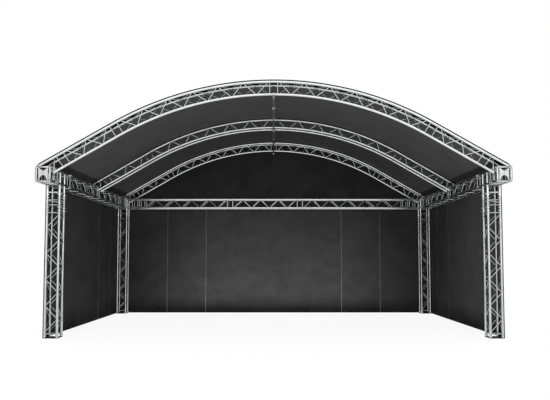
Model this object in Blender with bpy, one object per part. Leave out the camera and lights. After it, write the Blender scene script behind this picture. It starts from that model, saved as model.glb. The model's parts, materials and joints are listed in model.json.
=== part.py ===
"""Arched truss stage roof.

Four square-truss legs carry two side beams and a rear beam. Three triangular-truss arches span
between the side beams, with a ridge tube under their crowns. Black cloth covers the vault, the
rear gable, the rear and both sides. The front is open.

Metres, +Z up, front towards -Y, origin on the floor at the middle of the outer box.
"""

import math

import bmesh
import bpy
from mathutils import Matrix, Vector

# Tube sizes of the truss.
CHORD_SPACING = 0.239
CHORD_WIDTH = 0.050
ARCH_CHORD_WIDTH = 0.048
BRACE_WIDTH = 0.010
GAP = 0.0003

# Plan of the roof, measured between leg axes, and the lengths of its pieces.
LEG_SPACING_X = 8.61
LEG_SPACING_Y = 5.21
BLOCK_ARM = 0.355
BEAM_END_LENGTH = 0.333
SIDE_BEAM_LENGTHS = (2.0, 2.5)
REAR_SPACER_LENGTH = 0.20
REAR_BEAM_LENGTHS = (2.5, 2.0, 3.0)

# Heights.
BASE_PLATE_THICKNESS = 0.010
LEG_LENGTH = 2.5
LEG_SPACER_LENGTH = 0.25

# Arch profile: a curve of 30 degrees each side of the crown, then straight down at that slope.
ARCH_CROWN_HEIGHT = 4.858
ARCH_TOP_RADIUS = 6.03
ARCH_HALF_ANGLE = math.radians(30)
ARCH_STRAIGHT_LENGTH = 1.14
ARC_STEPS = 6

# Lattice.
RUNG_INSET = 0.075
NODE_INSET = 0.110
UPRIGHT_SPAN = 0.36
LEVEL_SPAN = 0.62
BRACE_DEPTH_IN_CHORD = 0.012

# Small pieces.
BASE_PLATE_CORNER = 0.012
END_POST_WIDTH = 0.030
END_POST_INSET = 0.023
END_POST_LENGTH = 0.281
END_BAR_WIDTH = 0.032
END_BAR_OFFSET = 0.008
END_PLATE_WIDTH = 0.178
END_PLATE_THICKNESS = 0.005
V_NOTCH_WIDTH = 0.156
V_NOTCH_DEPTH = 0.066
HALF_ROUND_RADIUS = 0.066
HALF_ROUND_DEPTH = 0.089
BOTTOM_CHORD_CLEARANCE = 0.0085
SADDLE_REACH = 0.045
SADDLE_LAP = 0.012
SADDLE_LENGTH = 0.036
SADDLE_POST_WIDTH = 0.010
CENTRE_POST_WIDTH = 0.018
RIDGE_TUBE_WIDTH = 0.036
RIDGE_TUBE_OVERHANG = 0.080
RIDGE_COLLAR_WIDTH = 0.046
RIDGE_COLLAR_LENGTH = 0.040
RIDGE_COLLARS_FRONT = (0.24, 1.14)
RIDGE_COLLARS_REAR = (3.20,)
RIDGE_TUBE_DROP = 0.060
RIDGE_CLAMP_WIDTH = 0.044
RIDGE_CLAMP_WALL = 0.008
SIDE_CLAMP_WALL = 0.0075
SIDE_CLAMP_SETBACK = 0.040
SIDE_CLAMP_LENGTH = 0.030

# Cloth, as plain closed sheets.
CANOPY_THICKNESS = 0.010
CANOPY_CLEARANCE = 0.0013
CANOPY_OVERHANG = 0.003
WALL_THICKNESS = 0.005
WALL_CLEARANCE = 0.001
WALL_FLOOR_CLEARANCE = 0.004
WALL_TOP_CLEARANCE = 0.002

# Values worked out from the driving dimensions.
HALF_SPACING = CHORD_SPACING / 2
ARCH_DEPTH = CHORD_SPACING * math.sqrt(3) / 2
ARCH_BOTTOM_RADIUS = ARCH_TOP_RADIUS - ARCH_DEPTH
ARCH_MIDDLE_RADIUS = ARCH_TOP_RADIUS - ARCH_DEPTH / 2
ARCH_CENTRE_HEIGHT = ARCH_CROWN_HEIGHT - ARCH_TOP_RADIUS
LEG_X = LEG_SPACING_X / 2
LEG_TOP = BASE_PLATE_THICKNESS + LEG_LENGTH
BLOCK_BOTTOM = LEG_TOP + LEG_SPACER_LENGTH
BEAM_AXIS_HEIGHT = BLOCK_BOTTOM + BLOCK_ARM
BEAM_BOTTOM = BEAM_AXIS_HEIGHT - HALF_SPACING - CHORD_WIDTH / 2
BEAM_TOP_CHORD_HEIGHT = BEAM_AXIS_HEIGHT + HALF_SPACING
BEAM_TOP = BEAM_TOP_CHORD_HEIGHT + CHORD_WIDTH / 2
BEAM_REACH = BLOCK_ARM + BEAM_END_LENGTH
TRUSS_OUTSIDE = HALF_SPACING + CHORD_WIDTH / 2
HEXAGON_PEAK = ARCH_CHORD_WIDTH / 2 / math.cos(math.pi / 6)
CANOPY_INNER_RADIUS = ARCH_TOP_RADIUS + HEXAGON_PEAK + CANOPY_CLEARANCE
CANOPY_INNER_X = LEG_X + TRUSS_OUTSIDE + WALL_CLEARANCE
RIDGE_TUBE_HEIGHT = ARCH_CENTRE_HEIGHT + ARCH_BOTTOM_RADIUS - RIDGE_TUBE_DROP

# The model's origin lies below the middle of its outer box, front to back.
BOX_FRONT_FROM_LEG = BEAM_REACH + ARCH_CHORD_WIDTH / 2 + CANOPY_OVERHANG
BOX_REAR_FROM_LEG = TRUSS_OUTSIDE + WALL_CLEARANCE + WALL_THICKNESS + CANOPY_OVERHANG
FRONT_LEG_Y = (BOX_FRONT_FROM_LEG - LEG_SPACING_Y - BOX_REAR_FROM_LEG) / 2
REAR_LEG_Y = FRONT_LEG_Y + LEG_SPACING_Y
CANOPY_FRONT_Y = FRONT_LEG_Y - BOX_FRONT_FROM_LEG
CANOPY_REAR_Y = REAR_LEG_Y + BOX_REAR_FROM_LEG
BEAM_FRONT_Y = FRONT_LEG_Y - BEAM_REACH
FRONT_ARCH_Y = BEAM_FRONT_Y + HALF_SPACING
REAR_ARCH_Y = REAR_LEG_Y
MIDDLE_ARCH_Y = (FRONT_ARCH_Y + REAR_ARCH_Y) / 2
REAR_WALL_Y = REAR_LEG_Y + TRUSS_OUTSIDE + WALL_CLEARANCE

# The arch's chord slopes away from the crown in straight steps, so the clamp's bore is wider.
CLAMP_CHORD_BORE = ARCH_CHORD_WIDTH + 0.0045

# The chord pairs of an arch's three faces, with the span of the zigzag on each.
ARCH_FACES = (((0, 2), UPRIGHT_SPAN), ((1, 2), UPRIGHT_SPAN), ((0, 1), LEVEL_SPAN))

SIDES = {"left": -1, "right": 1}
X_AXIS = Vector((1, 0, 0))
Y_AXIS = Vector((0, 1, 0))
Z_AXIS = Vector((0, 0, 1))


def remove_scene_objects():
    """Start from an empty scene."""
    for item in list(bpy.data.objects):
        bpy.data.objects.remove(item, do_unlink=True)


def new_collection(name):
    """A collection linked to the scene."""
    collection = bpy.data.collections.new(name)
    bpy.context.scene.collection.children.link(collection)
    return collection


def new_material(name, colour, roughness, metallic):
    """A Principled material with one colour, roughness and metallic value."""
    material = bpy.data.materials.new(name)
    material.use_nodes = True
    shader = material.node_tree.nodes["Principled BSDF"]
    shader.inputs["Base Color"].default_value = (*colour, 1)
    shader.inputs["Roughness"].default_value = roughness
    shader.inputs["Metallic"].default_value = metallic
    material.diffuse_color = (*colour, 1)
    return material


def new_object(name, mesh_data, material, collection):
    """An object for a mesh or curve, with its one material."""
    piece = bpy.data.objects.new(name, mesh_data)
    mesh_data.materials.append(material)
    collection.objects.link(piece)
    return piece


def object_from_bmesh(name, solid, material, collection):
    """Turn a bmesh into a named object and free it."""
    bmesh.ops.recalc_face_normals(solid, faces=solid.faces)
    data = bpy.data.meshes.new(name)
    solid.to_mesh(data)
    solid.free()
    data.shade_smooth()
    data.set_sharp_from_angle(angle=math.radians(50))
    return new_object(name, data, material, collection)


def bake_modifiers(piece):
    """Replace an object's mesh by the one its modifiers make."""
    graph = bpy.context.evaluated_depsgraph_get()
    data = bpy.data.meshes.new_from_object(piece.evaluated_get(graph))
    data.name = piece.name
    piece.modifiers.clear()
    piece.data = data


def combine(piece, other, operation):
    """Join another object to a piece, or cut it out of the piece, and remove the other."""
    boolean = piece.modifiers.new(operation.lower(), "BOOLEAN")
    boolean.operation = operation
    boolean.solver = "EXACT"
    boolean.use_self = True
    boolean.object = other
    bpy.context.view_layer.update()
    bake_modifiers(piece)
    bpy.data.objects.remove(other, do_unlink=True)


def bar_matrix(start, direction, flat_normal, sides):
    """A matrix that stands a prism on start along direction, one flat facing flat_normal."""
    along = direction.normalized()
    facing = (flat_normal - along * flat_normal.dot(along)).normalized()
    across = along.cross(facing)
    turn = Matrix((facing, across, along)).transposed().to_4x4()
    return Matrix.Translation(start) @ turn @ Matrix.Rotation(math.pi / sides - math.pi / 2, 4, "Z")


def add_bar(solid, start, end, width, sides, flat_normal):
    """Add a closed straight prism, its width measured between opposite flats."""
    direction = end - start
    matrix = bar_matrix((start + end) / 2, direction, flat_normal, sides)
    radius = width / 2 / math.cos(math.pi / sides)
    bmesh.ops.create_cone(
        solid, cap_ends=True, segments=sides, radius1=radius, radius2=radius,
        depth=direction.length, matrix=matrix)


def add_box(solid, corner, opposite):
    """Add a closed box between two opposite corners."""
    size = [abs(edge) for edge in opposite - corner]
    scale = Matrix.Diagonal((*size, 1))
    bmesh.ops.create_cube(solid, size=1, matrix=Matrix.Translation((corner + opposite) / 2) @ scale)


def add_brace(solid, start, end, rung, facing, chord_width):
    """Add a three-sided brace between two chord axes, ending just inside each chord."""
    direction = (end - start).normalized()
    lean = abs(direction.dot(rung.normalized()))
    trim = direction * (chord_width / 2 - BRACE_DEPTH_IN_CHORD) / lean
    add_bar(solid, start + trim, end - trim, BRACE_WIDTH, 3, facing)


def add_lattice(solid, point, pair, length, span, chord_width, parity):
    """Add a rung near each end of one truss face, and a zigzag between them.

    point(chord, station) gives a place on a chord's axis. parity 0 starts the zigzag on the
    first chord of the pair, 1 on the second.
    """
    run = length - 2 * NODE_INSET
    count = round(run / span)
    nodes = [NODE_INSET + run * step / count for step in range(count + 1)] if count else []
    last = length - RUNG_INSET
    stations = [(RUNG_INSET, RUNG_INSET), *zip(nodes, nodes[1:]), (last, last)]
    for step, (here, there) in enumerate(stations):
        first, second = pair if (step + parity) % 2 == 0 else pair[::-1]
        rung = point(second, here) - point(first, here)
        facing = rung.cross(point(first, here + RUNG_INSET) - point(first, here))
        add_brace(solid, point(first, here), point(second, there), rung, facing, chord_width)


def square_corners(side, up):
    """The four chord places of a square truss about its axis, in order round it."""
    return [
        (-side - up) * HALF_SPACING, (side - up) * HALF_SPACING,
        (side + up) * HALF_SPACING, (-side + up) * HALF_SPACING]


def add_square_chords(solid, start, end, side, up, width):
    """Add the four octagonal chords of a square truss."""
    for corner in square_corners(side, up):
        add_bar(solid, start + corner, end + corner, width, 8, side)


def fused_truss(name, chords, braces):
    """One closed body from the chords and braces of a truss piece."""
    piece = object_from_bmesh(name, chords, ALUMINIUM, ROOF)
    other = object_from_bmesh(name + "_braces", braces, ALUMINIUM, ROOF)
    combine(piece, other, "UNION")
    return piece


def square_truss(name, start, end, side, up, level_faces=()):
    """A straight square truss from joint plane to joint plane.

    level_faces names the faces, 0 to 3 round the section, whose zigzag is wide.
    """
    axis = (end - start).normalized()
    length = (end - start).length - GAP
    origin = start + axis * GAP / 2
    corners = square_corners(side, up)

    def point(chord, station):
        return origin + axis * station + corners[chord]

    chords, braces = bmesh.new(), bmesh.new()
    add_square_chords(chords, origin, origin + axis * length, side, up, CHORD_WIDTH)
    for face in range(4):
        pair = (face, (face + 1) % 4)
        span = LEVEL_SPAN if face in level_faces else UPRIGHT_SPAN
        add_lattice(braces, point, pair, length, span, CHORD_WIDTH, face // 2)
    return fused_truss(name, chords, braces)


def build_base_plate(name, x, y):
    """A flat steel plate the size of the truss, with its upright corners cut."""
    solid = bmesh.new()
    half = Vector((TRUSS_OUTSIDE, TRUSS_OUTSIDE, 0))
    centre = Vector((x, y, 0))
    top = BASE_PLATE_THICKNESS - GAP
    add_box(solid, centre - half, centre + half + Z_AXIS * top)
    upright = [edge for edge in solid.edges if abs(edge.verts[0].co.z - edge.verts[1].co.z) > top / 2]
    bmesh.ops.bevel(
        solid, geom=upright, offset=BASE_PLATE_CORNER, segments=2, profile=0.5, affect="EDGES")
    return object_from_bmesh(name, solid, STEEL, ROOF)


def build_leg(place, x, y):
    """Base plate, leg truss and spacer on one leg axis."""
    build_base_plate("base_plate_" + place, x, y)
    foot = Vector((x, y, BASE_PLATE_THICKNESS))
    top = Vector((x, y, LEG_TOP))
    square_truss("leg_truss_" + place, foot, top, X_AXIS, Y_AXIS)
    square_truss("leg_spacer_" + place, top, Vector((x, y, BLOCK_BOTTOM)), X_AXIS, Y_AXIS)


def add_ring_of_rungs(solid, centre, side, up, open_face=None):
    """Add rungs that close the section of a square arm, but for the open face if one is given."""
    corners = square_corners(side, up)
    for face, facing in enumerate((-up, side, up, -side)):
        if face != open_face:
            first, second = centre + corners[face], centre + corners[(face + 1) % 4]
            add_brace(solid, first, second, second - first, facing, CHORD_WIDTH)


def corner_block(name, x, y, arms):
    """A welded block about a leg axis: a cage with an arm down and the given level arms.

    The chords along Y run through. The arms along X and down start at them, and slimmer bars
    close the cage. The chord directions differ in width by half a millimetre, so that none of
    their flats coincide. An arm along X has no rung on top, because the bottom chord of the rear
    arch comes down between its top chords.
    """
    centre = Vector((x, y, BEAM_AXIS_HEIGHT))
    reach = BLOCK_ARM - GAP / 2
    inside = HALF_SPACING
    chords, braces = bmesh.new(), bmesh.new()
    ends = [arm * (reach if arm in arms else TRUSS_OUTSIDE) for arm in (-Y_AXIS, Y_AXIS)]
    add_square_chords(chords, centre + ends[0], centre + ends[1], X_AXIS, Z_AXIS, CHORD_WIDTH)
    for number, arm in enumerate([*arms, -Z_AXIS]):
        side = Y_AXIS if abs(arm.x) > 0.5 else X_AXIS
        up = Y_AXIS if abs(arm.z) > 0.5 else Z_AXIS
        open_face = 2 if abs(arm.x) > 0.5 else None
        add_ring_of_rungs(braces, centre + arm * (reach - RUNG_INSET), side, up, open_face)
        if abs(arm.y) < 0.5:
            width = CHORD_WIDTH - 0.0005 * (1 + number)
            add_square_chords(chords, centre + arm * inside, centre + arm * reach, side, up, width)
    for first_side in (-inside, inside):
        for second_side in (-inside, inside):
            low = centre + Vector((first_side, second_side, -inside))
            add_brace(braces, low, low + Z_AXIS * CHORD_SPACING, Z_AXIS, Y_AXIS, CHORD_WIDTH)
            left = centre + Vector((-inside, first_side, second_side))
            add_brace(braces, left, left + X_AXIS * CHORD_SPACING, X_AXIS, Z_AXIS, CHORD_WIDTH)
    return fused_truss(name, chords, braces)


def beam_end(side_name, sign):
    """The short square piece forward of a tee block, closed by two posts and two bars."""
    x = sign * LEG_X
    start = Vector((x, FRONT_LEG_Y - BLOCK_ARM - GAP / 2, BEAM_AXIS_HEIGHT))
    end = Vector((x, BEAM_FRONT_Y, BEAM_AXIS_HEIGHT))
    chords, braces = bmesh.new(), bmesh.new()
    add_square_chords(chords, start, end, X_AXIS, Z_AXIS, CHORD_WIDTH)
    add_ring_of_rungs(braces, start - Y_AXIS * RUNG_INSET, X_AXIS, Z_AXIS)
    post_y = BEAM_FRONT_Y + END_POST_INSET
    offset = HALF_SPACING + END_BAR_OFFSET
    post_reach = Z_AXIS * END_POST_LENGTH / 2
    for side in (-1, 1):
        post = Vector((x + side * offset, post_y, BEAM_AXIS_HEIGHT))
        add_bar(braces, post - post_reach, post + post_reach, END_POST_WIDTH, 4, X_AXIS)
        bar = Vector((x, post_y, BEAM_AXIS_HEIGHT + side * offset))
        add_bar(braces, bar - X_AXIS * offset, bar + X_AXIS * offset, END_BAR_WIDTH, 4, Z_AXIS)
    fused_truss("beam_end_" + side_name, chords, braces)


def arc_points(centre, radius_x, radius_z, start, end, steps):
    """Points on an ellipse in the XZ plane, angles in radians from +X."""
    points = []
    for step in range(steps + 1):
        angle = start + (end - start) * step / steps
        points.append((centre[0] + radius_x * math.cos(angle), centre[1] + radius_z * math.sin(angle)))
    return points


def flat_plate(name, outline, y_front, thickness, material):
    """A plate in the XZ plane: a filled 2D curve, extruded by half its thickness each way."""
    curve = bpy.data.curves.new(name, "CURVE")
    curve.dimensions = "2D"
    curve.fill_mode = "BOTH"
    curve.extrude = thickness / 2
    spline = curve.splines.new("POLY")
    spline.points.add(len(outline) - 1)
    for place, (x, z) in zip(spline.points, outline):
        place.co = (x, z, 0, 1)
    spline.use_cyclic_u = True
    piece = new_object(name, curve, material, ROOF)
    piece.rotation_euler = (math.pi / 2, 0, 0)
    piece.location = (0, y_front + thickness / 2, 0)
    return piece


def end_plate(side_name, sign):
    """The plate between the bars, notched at the top and half round at the bottom.

    It is held by the bars above and below, and open slots part it from the posts.
    """
    x = sign * LEG_X
    half = END_PLATE_WIDTH / 2
    half_height = HALF_SPACING + END_BAR_OFFSET - END_BAR_WIDTH / 2 - GAP
    bottom = BEAM_AXIS_HEIGHT - half_height
    top = BEAM_AXIS_HEIGHT + half_height
    half_round = arc_points((x, bottom), HALF_ROUND_RADIUS, HALF_ROUND_DEPTH, math.pi, 0, 10)
    outline = [(x - half, bottom)] + half_round + [
        (x + half, bottom), (x + half, top), (x + V_NOTCH_WIDTH / 2, top),
        (x, top - V_NOTCH_DEPTH), (x - V_NOTCH_WIDTH / 2, top), (x - half, top)]
    y_front = BEAM_FRONT_Y + END_POST_INSET - END_PLATE_THICKNESS / 2
    flat_plate("end_plate_" + side_name, outline, y_front, END_PLATE_THICKNESS, ALUMINIUM)


def build_side_beam(side_name, sign):
    """The two straight trusses between the front tee block and the rear corner block."""
    y = FRONT_LEG_Y + BLOCK_ARM
    for place, length in zip(("front", "rear"), SIDE_BEAM_LENGTHS):
        start = Vector((sign * LEG_X, y, BEAM_AXIS_HEIGHT))
        end = start + Y_AXIS * length
        name = "side_beam_{}_{}".format(place, side_name)
        square_truss(name, start, end, X_AXIS, Z_AXIS, level_faces=(0, 2))
        y += length


def build_rear_beam():
    """Spacer, three trusses and spacer between the rear corner blocks."""
    names = (
        "rear_spacer_left", "rear_beam_left", "rear_beam_middle", "rear_beam_right",
        "rear_spacer_right")
    lengths = (REAR_SPACER_LENGTH, *REAR_BEAM_LENGTHS, REAR_SPACER_LENGTH)
    x = BLOCK_ARM - LEG_X
    for name, length in zip(names, lengths):
        start = Vector((x, REAR_LEG_Y, BEAM_AXIS_HEIGHT))
        end = start + X_AXIS * length
        square_truss(name, start, end, Y_AXIS, Z_AXIS, level_faces=(0, 2))
        x += length


def arch_place(radius, y, sign, angle, beyond):
    """A place on the arch profile: at an angle from the crown, then a run down the slope."""
    x = radius * math.sin(angle) + beyond * math.cos(angle)
    z = ARCH_CENTRE_HEIGHT + radius * math.cos(angle) - beyond * math.sin(angle)
    return Vector((sign * x, y, z))


def arch_chords(points_down):
    """Radius and Y of the three chords of an arch about its own middle plane."""
    pair_radius, single_radius = ARCH_TOP_RADIUS, ARCH_BOTTOM_RADIUS
    if not points_down:
        pair_radius, single_radius = single_radius, pair_radius
    return [(pair_radius, -HALF_SPACING), (pair_radius, HALF_SPACING), (single_radius, 0)]


def add_curved_bar(solid, radius, y, sign, start_angle, end_angle):
    """Add a closed six-sided bar that follows the arch, by spinning its section."""
    start = arch_place(radius, y, sign, start_angle, 0)
    tangent = Vector((sign * math.cos(start_angle), 0, -math.sin(start_angle)))
    matrix = bar_matrix(start, tangent, Y_AXIS, 6)
    before = len(solid.edges)
    bmesh.ops.create_circle(solid, segments=6, radius=HEXAGON_PEAK, matrix=matrix)
    solid.edges.ensure_lookup_table()
    edges = solid.edges[before:]
    swept = bmesh.ops.spin(
        solid, geom=edges, cent=(0, 0, ARCH_CENTRE_HEIGHT), axis=(0, 1, 0),
        angle=sign * (end_angle - start_angle), steps=ARC_STEPS)
    last = [item for item in swept["geom_last"] if isinstance(item, bmesh.types.BMEdge)]
    bmesh.ops.holes_fill(solid, edges=edges + last, sides=6)


def arch_curve(name, points_down, sign):
    """The curved half of an arch, from the crown joint to the end of the curve."""
    start_angle = GAP / 2 / ARCH_MIDDLE_RADIUS
    end_angle = ARCH_HALF_ANGLE - start_angle
    length = ARCH_MIDDLE_RADIUS * (end_angle - start_angle)
    layout = arch_chords(points_down)

    def point(chord, station):
        radius, chord_y = layout[chord]
        angle = start_angle + station / ARCH_MIDDLE_RADIUS
        return arch_place(radius, chord_y, sign, angle, 0)

    chords, braces = bmesh.new(), bmesh.new()
    for radius, chord_y in layout:
        add_curved_bar(chords, radius, chord_y, sign, start_angle, end_angle)
    for pair, span in ARCH_FACES:
        add_lattice(braces, point, pair, length, span, ARCH_CHORD_WIDTH, 0)
    return fused_truss(name, chords, braces)


def arch_straight(name, points_down, sign):
    """The straight piece below the curve."""
    layout = arch_chords(points_down)
    length = ARCH_STRAIGHT_LENGTH - GAP

    def point(chord, station):
        radius, chord_y = layout[chord]
        return arch_place(radius, chord_y, sign, ARCH_HALF_ANGLE, GAP / 2 + station)

    chords, braces = bmesh.new(), bmesh.new()
    for chord in range(3):
        add_bar(chords, point(chord, 0), point(chord, length), ARCH_CHORD_WIDTH, 6, Y_AXIS)
    for pair, span in ARCH_FACES:
        add_lattice(braces, point, pair, length, span, ARCH_CHORD_WIDTH, 0)
    return fused_truss(name, chords, braces)


def slope_run_to(radius, x):
    """How far below the curve a chord of this radius reaches x."""
    return (x - radius * math.sin(ARCH_HALF_ANGLE)) / math.cos(ARCH_HALF_ANGLE)


def add_level_ended_bar(solid, start, end, width, sides, flat_normal, level):
    """Add a sloping prism whose lower end is cut level, so that it can lie on a flat."""
    bar = bmesh.new()
    add_bar(bar, start, end, width, sides, flat_normal)
    bmesh.ops.bisect_plane(
        bar, geom=[*bar.verts, *bar.edges, *bar.faces], dist=1e-6, plane_co=(0, 0, level),
        plane_no=(0, 0, -1), clear_outer=True)
    bmesh.ops.holes_fill(bar, edges=[edge for edge in bar.edges if edge.is_boundary], sides=sides)
    cut = bpy.data.meshes.new("cut_bar")
    bar.to_mesh(cut)
    bar.free()
    solid.from_mesh(cut)
    bpy.data.meshes.remove(cut)


def prism_object(name, centre, axis, length, width, sides, flat_normal):
    """A straight prism as an object of its own, for cutting."""
    solid = bmesh.new()
    add_bar(solid, centre - axis * length / 2, centre + axis * length / 2, width, sides, flat_normal)
    return object_from_bmesh(name, solid, ALUMINIUM, ROOF)


def arch_end(name, points_down, sign):
    """The end of an arch on its side beam.

    The top chords are cut level, to lie across the beam's outer top chord. The bottom chords stop
    at the beam's inner face. Where the arch hangs point down, one post rises from its bottom chord
    to a bar between its top chords, and where it stands point up, two sloping posts join its
    chords. Each post carries a saddle on the beam's inner top chord.
    """
    layout = arch_chords(points_down)
    inner_chord_x = LEG_X - HALF_SPACING
    start = ARCH_STRAIGHT_LENGTH + GAP / 2
    post_x = inner_chord_x - SADDLE_REACH - SADDLE_POST_WIDTH / 4
    bottom_end_x = inner_chord_x - CHORD_WIDTH / 2 - BOTTOM_CHORD_CLEARANCE

    def place(chord, beyond):
        radius, chord_y = layout[chord]
        return arch_place(radius, chord_y, sign, ARCH_HALF_ANGLE, beyond)

    chords, braces = bmesh.new(), bmesh.new()
    for chord, (radius, _) in enumerate(layout):
        if radius == ARCH_TOP_RADIUS:
            end = place(chord, slope_run_to(radius, LEG_X + TRUSS_OUTSIDE + CHORD_WIDTH))
            add_level_ended_bar(
                chords, place(chord, start), end, ARCH_CHORD_WIDTH, 6, Y_AXIS, BEAM_TOP + GAP)
        else:
            end = place(chord, slope_run_to(radius, bottom_end_x))
            add_bar(chords, place(chord, start), end, ARCH_CHORD_WIDTH, 6, Y_AXIS)
    slope = place(0, 1) - place(0, 0)
    for pair, _ in ARCH_FACES:
        first, second = place(pair[0], start + RUNG_INSET), place(pair[1], start + RUNG_INSET)
        rung = second - first
        add_brace(braces, first, second, rung, rung.cross(slope), ARCH_CHORD_WIDTH)
    at_post = [place(chord, slope_run_to(layout[chord][0], post_x)) for chord in range(3)]
    if points_down:
        add_bar(braces, at_post[0], at_post[1], CENTRE_POST_WIDTH, 4, Z_AXIS)
        posts = [(at_post[2], (at_post[0] + at_post[1]) / 2, CENTRE_POST_WIDTH, 4)]
    else:
        posts = [(at_post[chord], at_post[2], SADDLE_POST_WIDTH, 3) for chord in (0, 1)]
    for foot, top, width, sides in posts:
        add_bar(braces, foot, top, width, sides, X_AXIS)
        share = (BEAM_TOP_CHORD_HEIGHT - foot.z) / (top.z - foot.z)
        saddle_y = foot.y + (top.y - foot.y) * share
        saddle = Vector((sign * inner_chord_x, saddle_y, BEAM_TOP_CHORD_HEIGHT))
        inner = saddle + Vector((-sign * SADDLE_REACH, -SADDLE_LENGTH / 2, -SADDLE_LAP / 3))
        outer = saddle + Vector((sign * SADDLE_LAP, SADDLE_LENGTH / 2, SADDLE_REACH))
        add_box(braces, inner, outer)
    piece = fused_truss(name, chords, braces)
    chord_centre = Vector((sign * inner_chord_x, 0, BEAM_TOP_CHORD_HEIGHT))
    hole = prism_object(name + "_hole", chord_centre, Y_AXIS, 1.0, CHORD_WIDTH + 2 * GAP, 8, X_AXIS)
    combine(piece, hole, "DIFFERENCE")
    return piece


def build_arches(places, points_down):
    """Arches of one kind at the given Y places, each two curves, two straights and two ends.

    The pieces are modelled about the arch's own middle plane and moved to the first place. The
    other places get copies that share their meshes.
    """
    makers = {"curve": arch_curve, "straight": arch_straight, "end": arch_end}
    for side_name, sign in SIDES.items():
        for kind, make in makers.items():
            pattern = "{}_arch_{}_{}"
            first = None
            for place, y in places.items():
                name = pattern.format(place, kind, side_name)
                if first is None:
                    first = piece = make(name, points_down, sign)
                else:
                    piece = bpy.data.objects.new(name, first.data)
                    ROOF.objects.link(piece)
                piece.location = (0, y, 0)


def ridge_tube(name, low_y, high_y, collars):
    """A length of the ridge tube with its collars."""
    tube, rings = bmesh.new(), bmesh.new()
    height = RIDGE_TUBE_HEIGHT
    add_bar(tube, Vector((0, low_y, height)), Vector((0, high_y, height)), RIDGE_TUBE_WIDTH, 12, X_AXIS)
    for distance in collars:
        middle = Vector((0, FRONT_LEG_Y + distance, height))
        half = Y_AXIS * RIDGE_COLLAR_LENGTH / 2
        add_bar(rings, middle - half, middle + half, RIDGE_COLLAR_WIDTH, 12, X_AXIS)
    fused_truss(name, tube, rings)


def ridge_clamp(place, y):
    """A block clamp: bored along X for the arch's bottom chord and along Y for the ridge tube."""
    half_x = RIDGE_CLAMP_WIDTH / 2
    half_y = CLAMP_CHORD_BORE / 2 + RIDGE_CLAMP_WALL
    below = RIDGE_TUBE_WIDTH / 2 + RIDGE_CLAMP_WALL
    above = CLAMP_CHORD_BORE / 2 / math.cos(math.pi / 6) + RIDGE_CLAMP_WALL
    origin = Vector((0, 0, 0))
    chord_centre = Z_AXIS * RIDGE_TUBE_DROP
    low = Vector((-half_x, -half_y, -below))
    solid = bmesh.new()
    add_box(solid, low, Vector((half_x, half_y, RIDGE_TUBE_DROP + above)))
    piece = object_from_bmesh("ridge_clamp_" + place, solid, ALUMINIUM, ROOF)
    chord_hole = prism_object(
        "chord_hole", chord_centre, X_AXIS, 4 * half_x, CLAMP_CHORD_BORE, 6, Y_AXIS)
    combine(piece, chord_hole, "DIFFERENCE")
    tube_bore = RIDGE_TUBE_WIDTH + 2 * GAP
    tube_hole = prism_object("tube_hole", origin, Y_AXIS, 4 * half_y, tube_bore, 12, X_AXIS)
    combine(piece, tube_hole, "DIFFERENCE")
    piece.location = (0, y, RIDGE_TUBE_HEIGHT)


def side_clamp(side_name, sign):
    """A ring clamped round the inner top chord of the side beam, behind the front leg."""
    y = FRONT_LEG_Y + BLOCK_ARM + SIDE_CLAMP_SETBACK
    centre = Vector((sign * (LEG_X - HALF_SPACING), y, BEAM_TOP_CHORD_HEIGHT))
    outer = CHORD_WIDTH + 2 * SIDE_CLAMP_WALL
    name = "side_clamp_" + side_name
    piece = prism_object(name, centre, Y_AXIS, SIDE_CLAMP_LENGTH, outer, 8, X_AXIS)
    bore = prism_object("bore", centre, Y_AXIS, 2 * SIDE_CLAMP_LENGTH, CHORD_WIDTH + 2 * GAP, 8, X_AXIS)
    combine(piece, bore, "DIFFERENCE")


def vault_profile(radius, eave_x):
    """X and Z along the vault from the left eave over the crown to the right eave."""
    points = []
    for step in range(-ARC_STEPS, ARC_STEPS + 1):
        place = arch_place(radius, 0, 1, ARCH_HALF_ANGLE * step / ARC_STEPS, 0)
        points.append((place.x, place.z))
    eave_z = arch_place(radius, 0, 1, ARCH_HALF_ANGLE, slope_run_to(radius, eave_x)).z
    return [(-eave_x, eave_z), *points, (eave_x, eave_z)]


def build_canopy():
    """The vault cloth with a valance down each side, as one thick sheet."""
    drop = BEAM_BOTTOM + WALL_TOP_CLEARANCE
    inner_x, outer_x = CANOPY_INNER_X, CANOPY_INNER_X + CANOPY_THICKNESS
    inside = vault_profile(CANOPY_INNER_RADIUS, inner_x)
    outside = vault_profile(CANOPY_INNER_RADIUS + CANOPY_THICKNESS, outer_x)
    outline = [
        (-outer_x, drop), *outside, (outer_x, drop), (inner_x, drop), *reversed(inside),
        (-inner_x, drop)]
    flat_plate("canopy", outline, CANOPY_FRONT_Y, CANOPY_REAR_Y - CANOPY_FRONT_Y, CLOTH)


def build_gable():
    """The cloth that fills the rear arch, down to the underside of the rear beam."""
    radius = CANOPY_INNER_RADIUS - WALL_CLEARANCE
    eave_x = CANOPY_INNER_X - WALL_CLEARANCE
    drop = BEAM_BOTTOM + WALL_TOP_CLEARANCE
    outline = [(eave_x, drop), (-eave_x, drop), *vault_profile(radius, eave_x)]
    flat_plate("rear_gable", outline, REAR_WALL_Y, WALL_THICKNESS, CLOTH)


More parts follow.
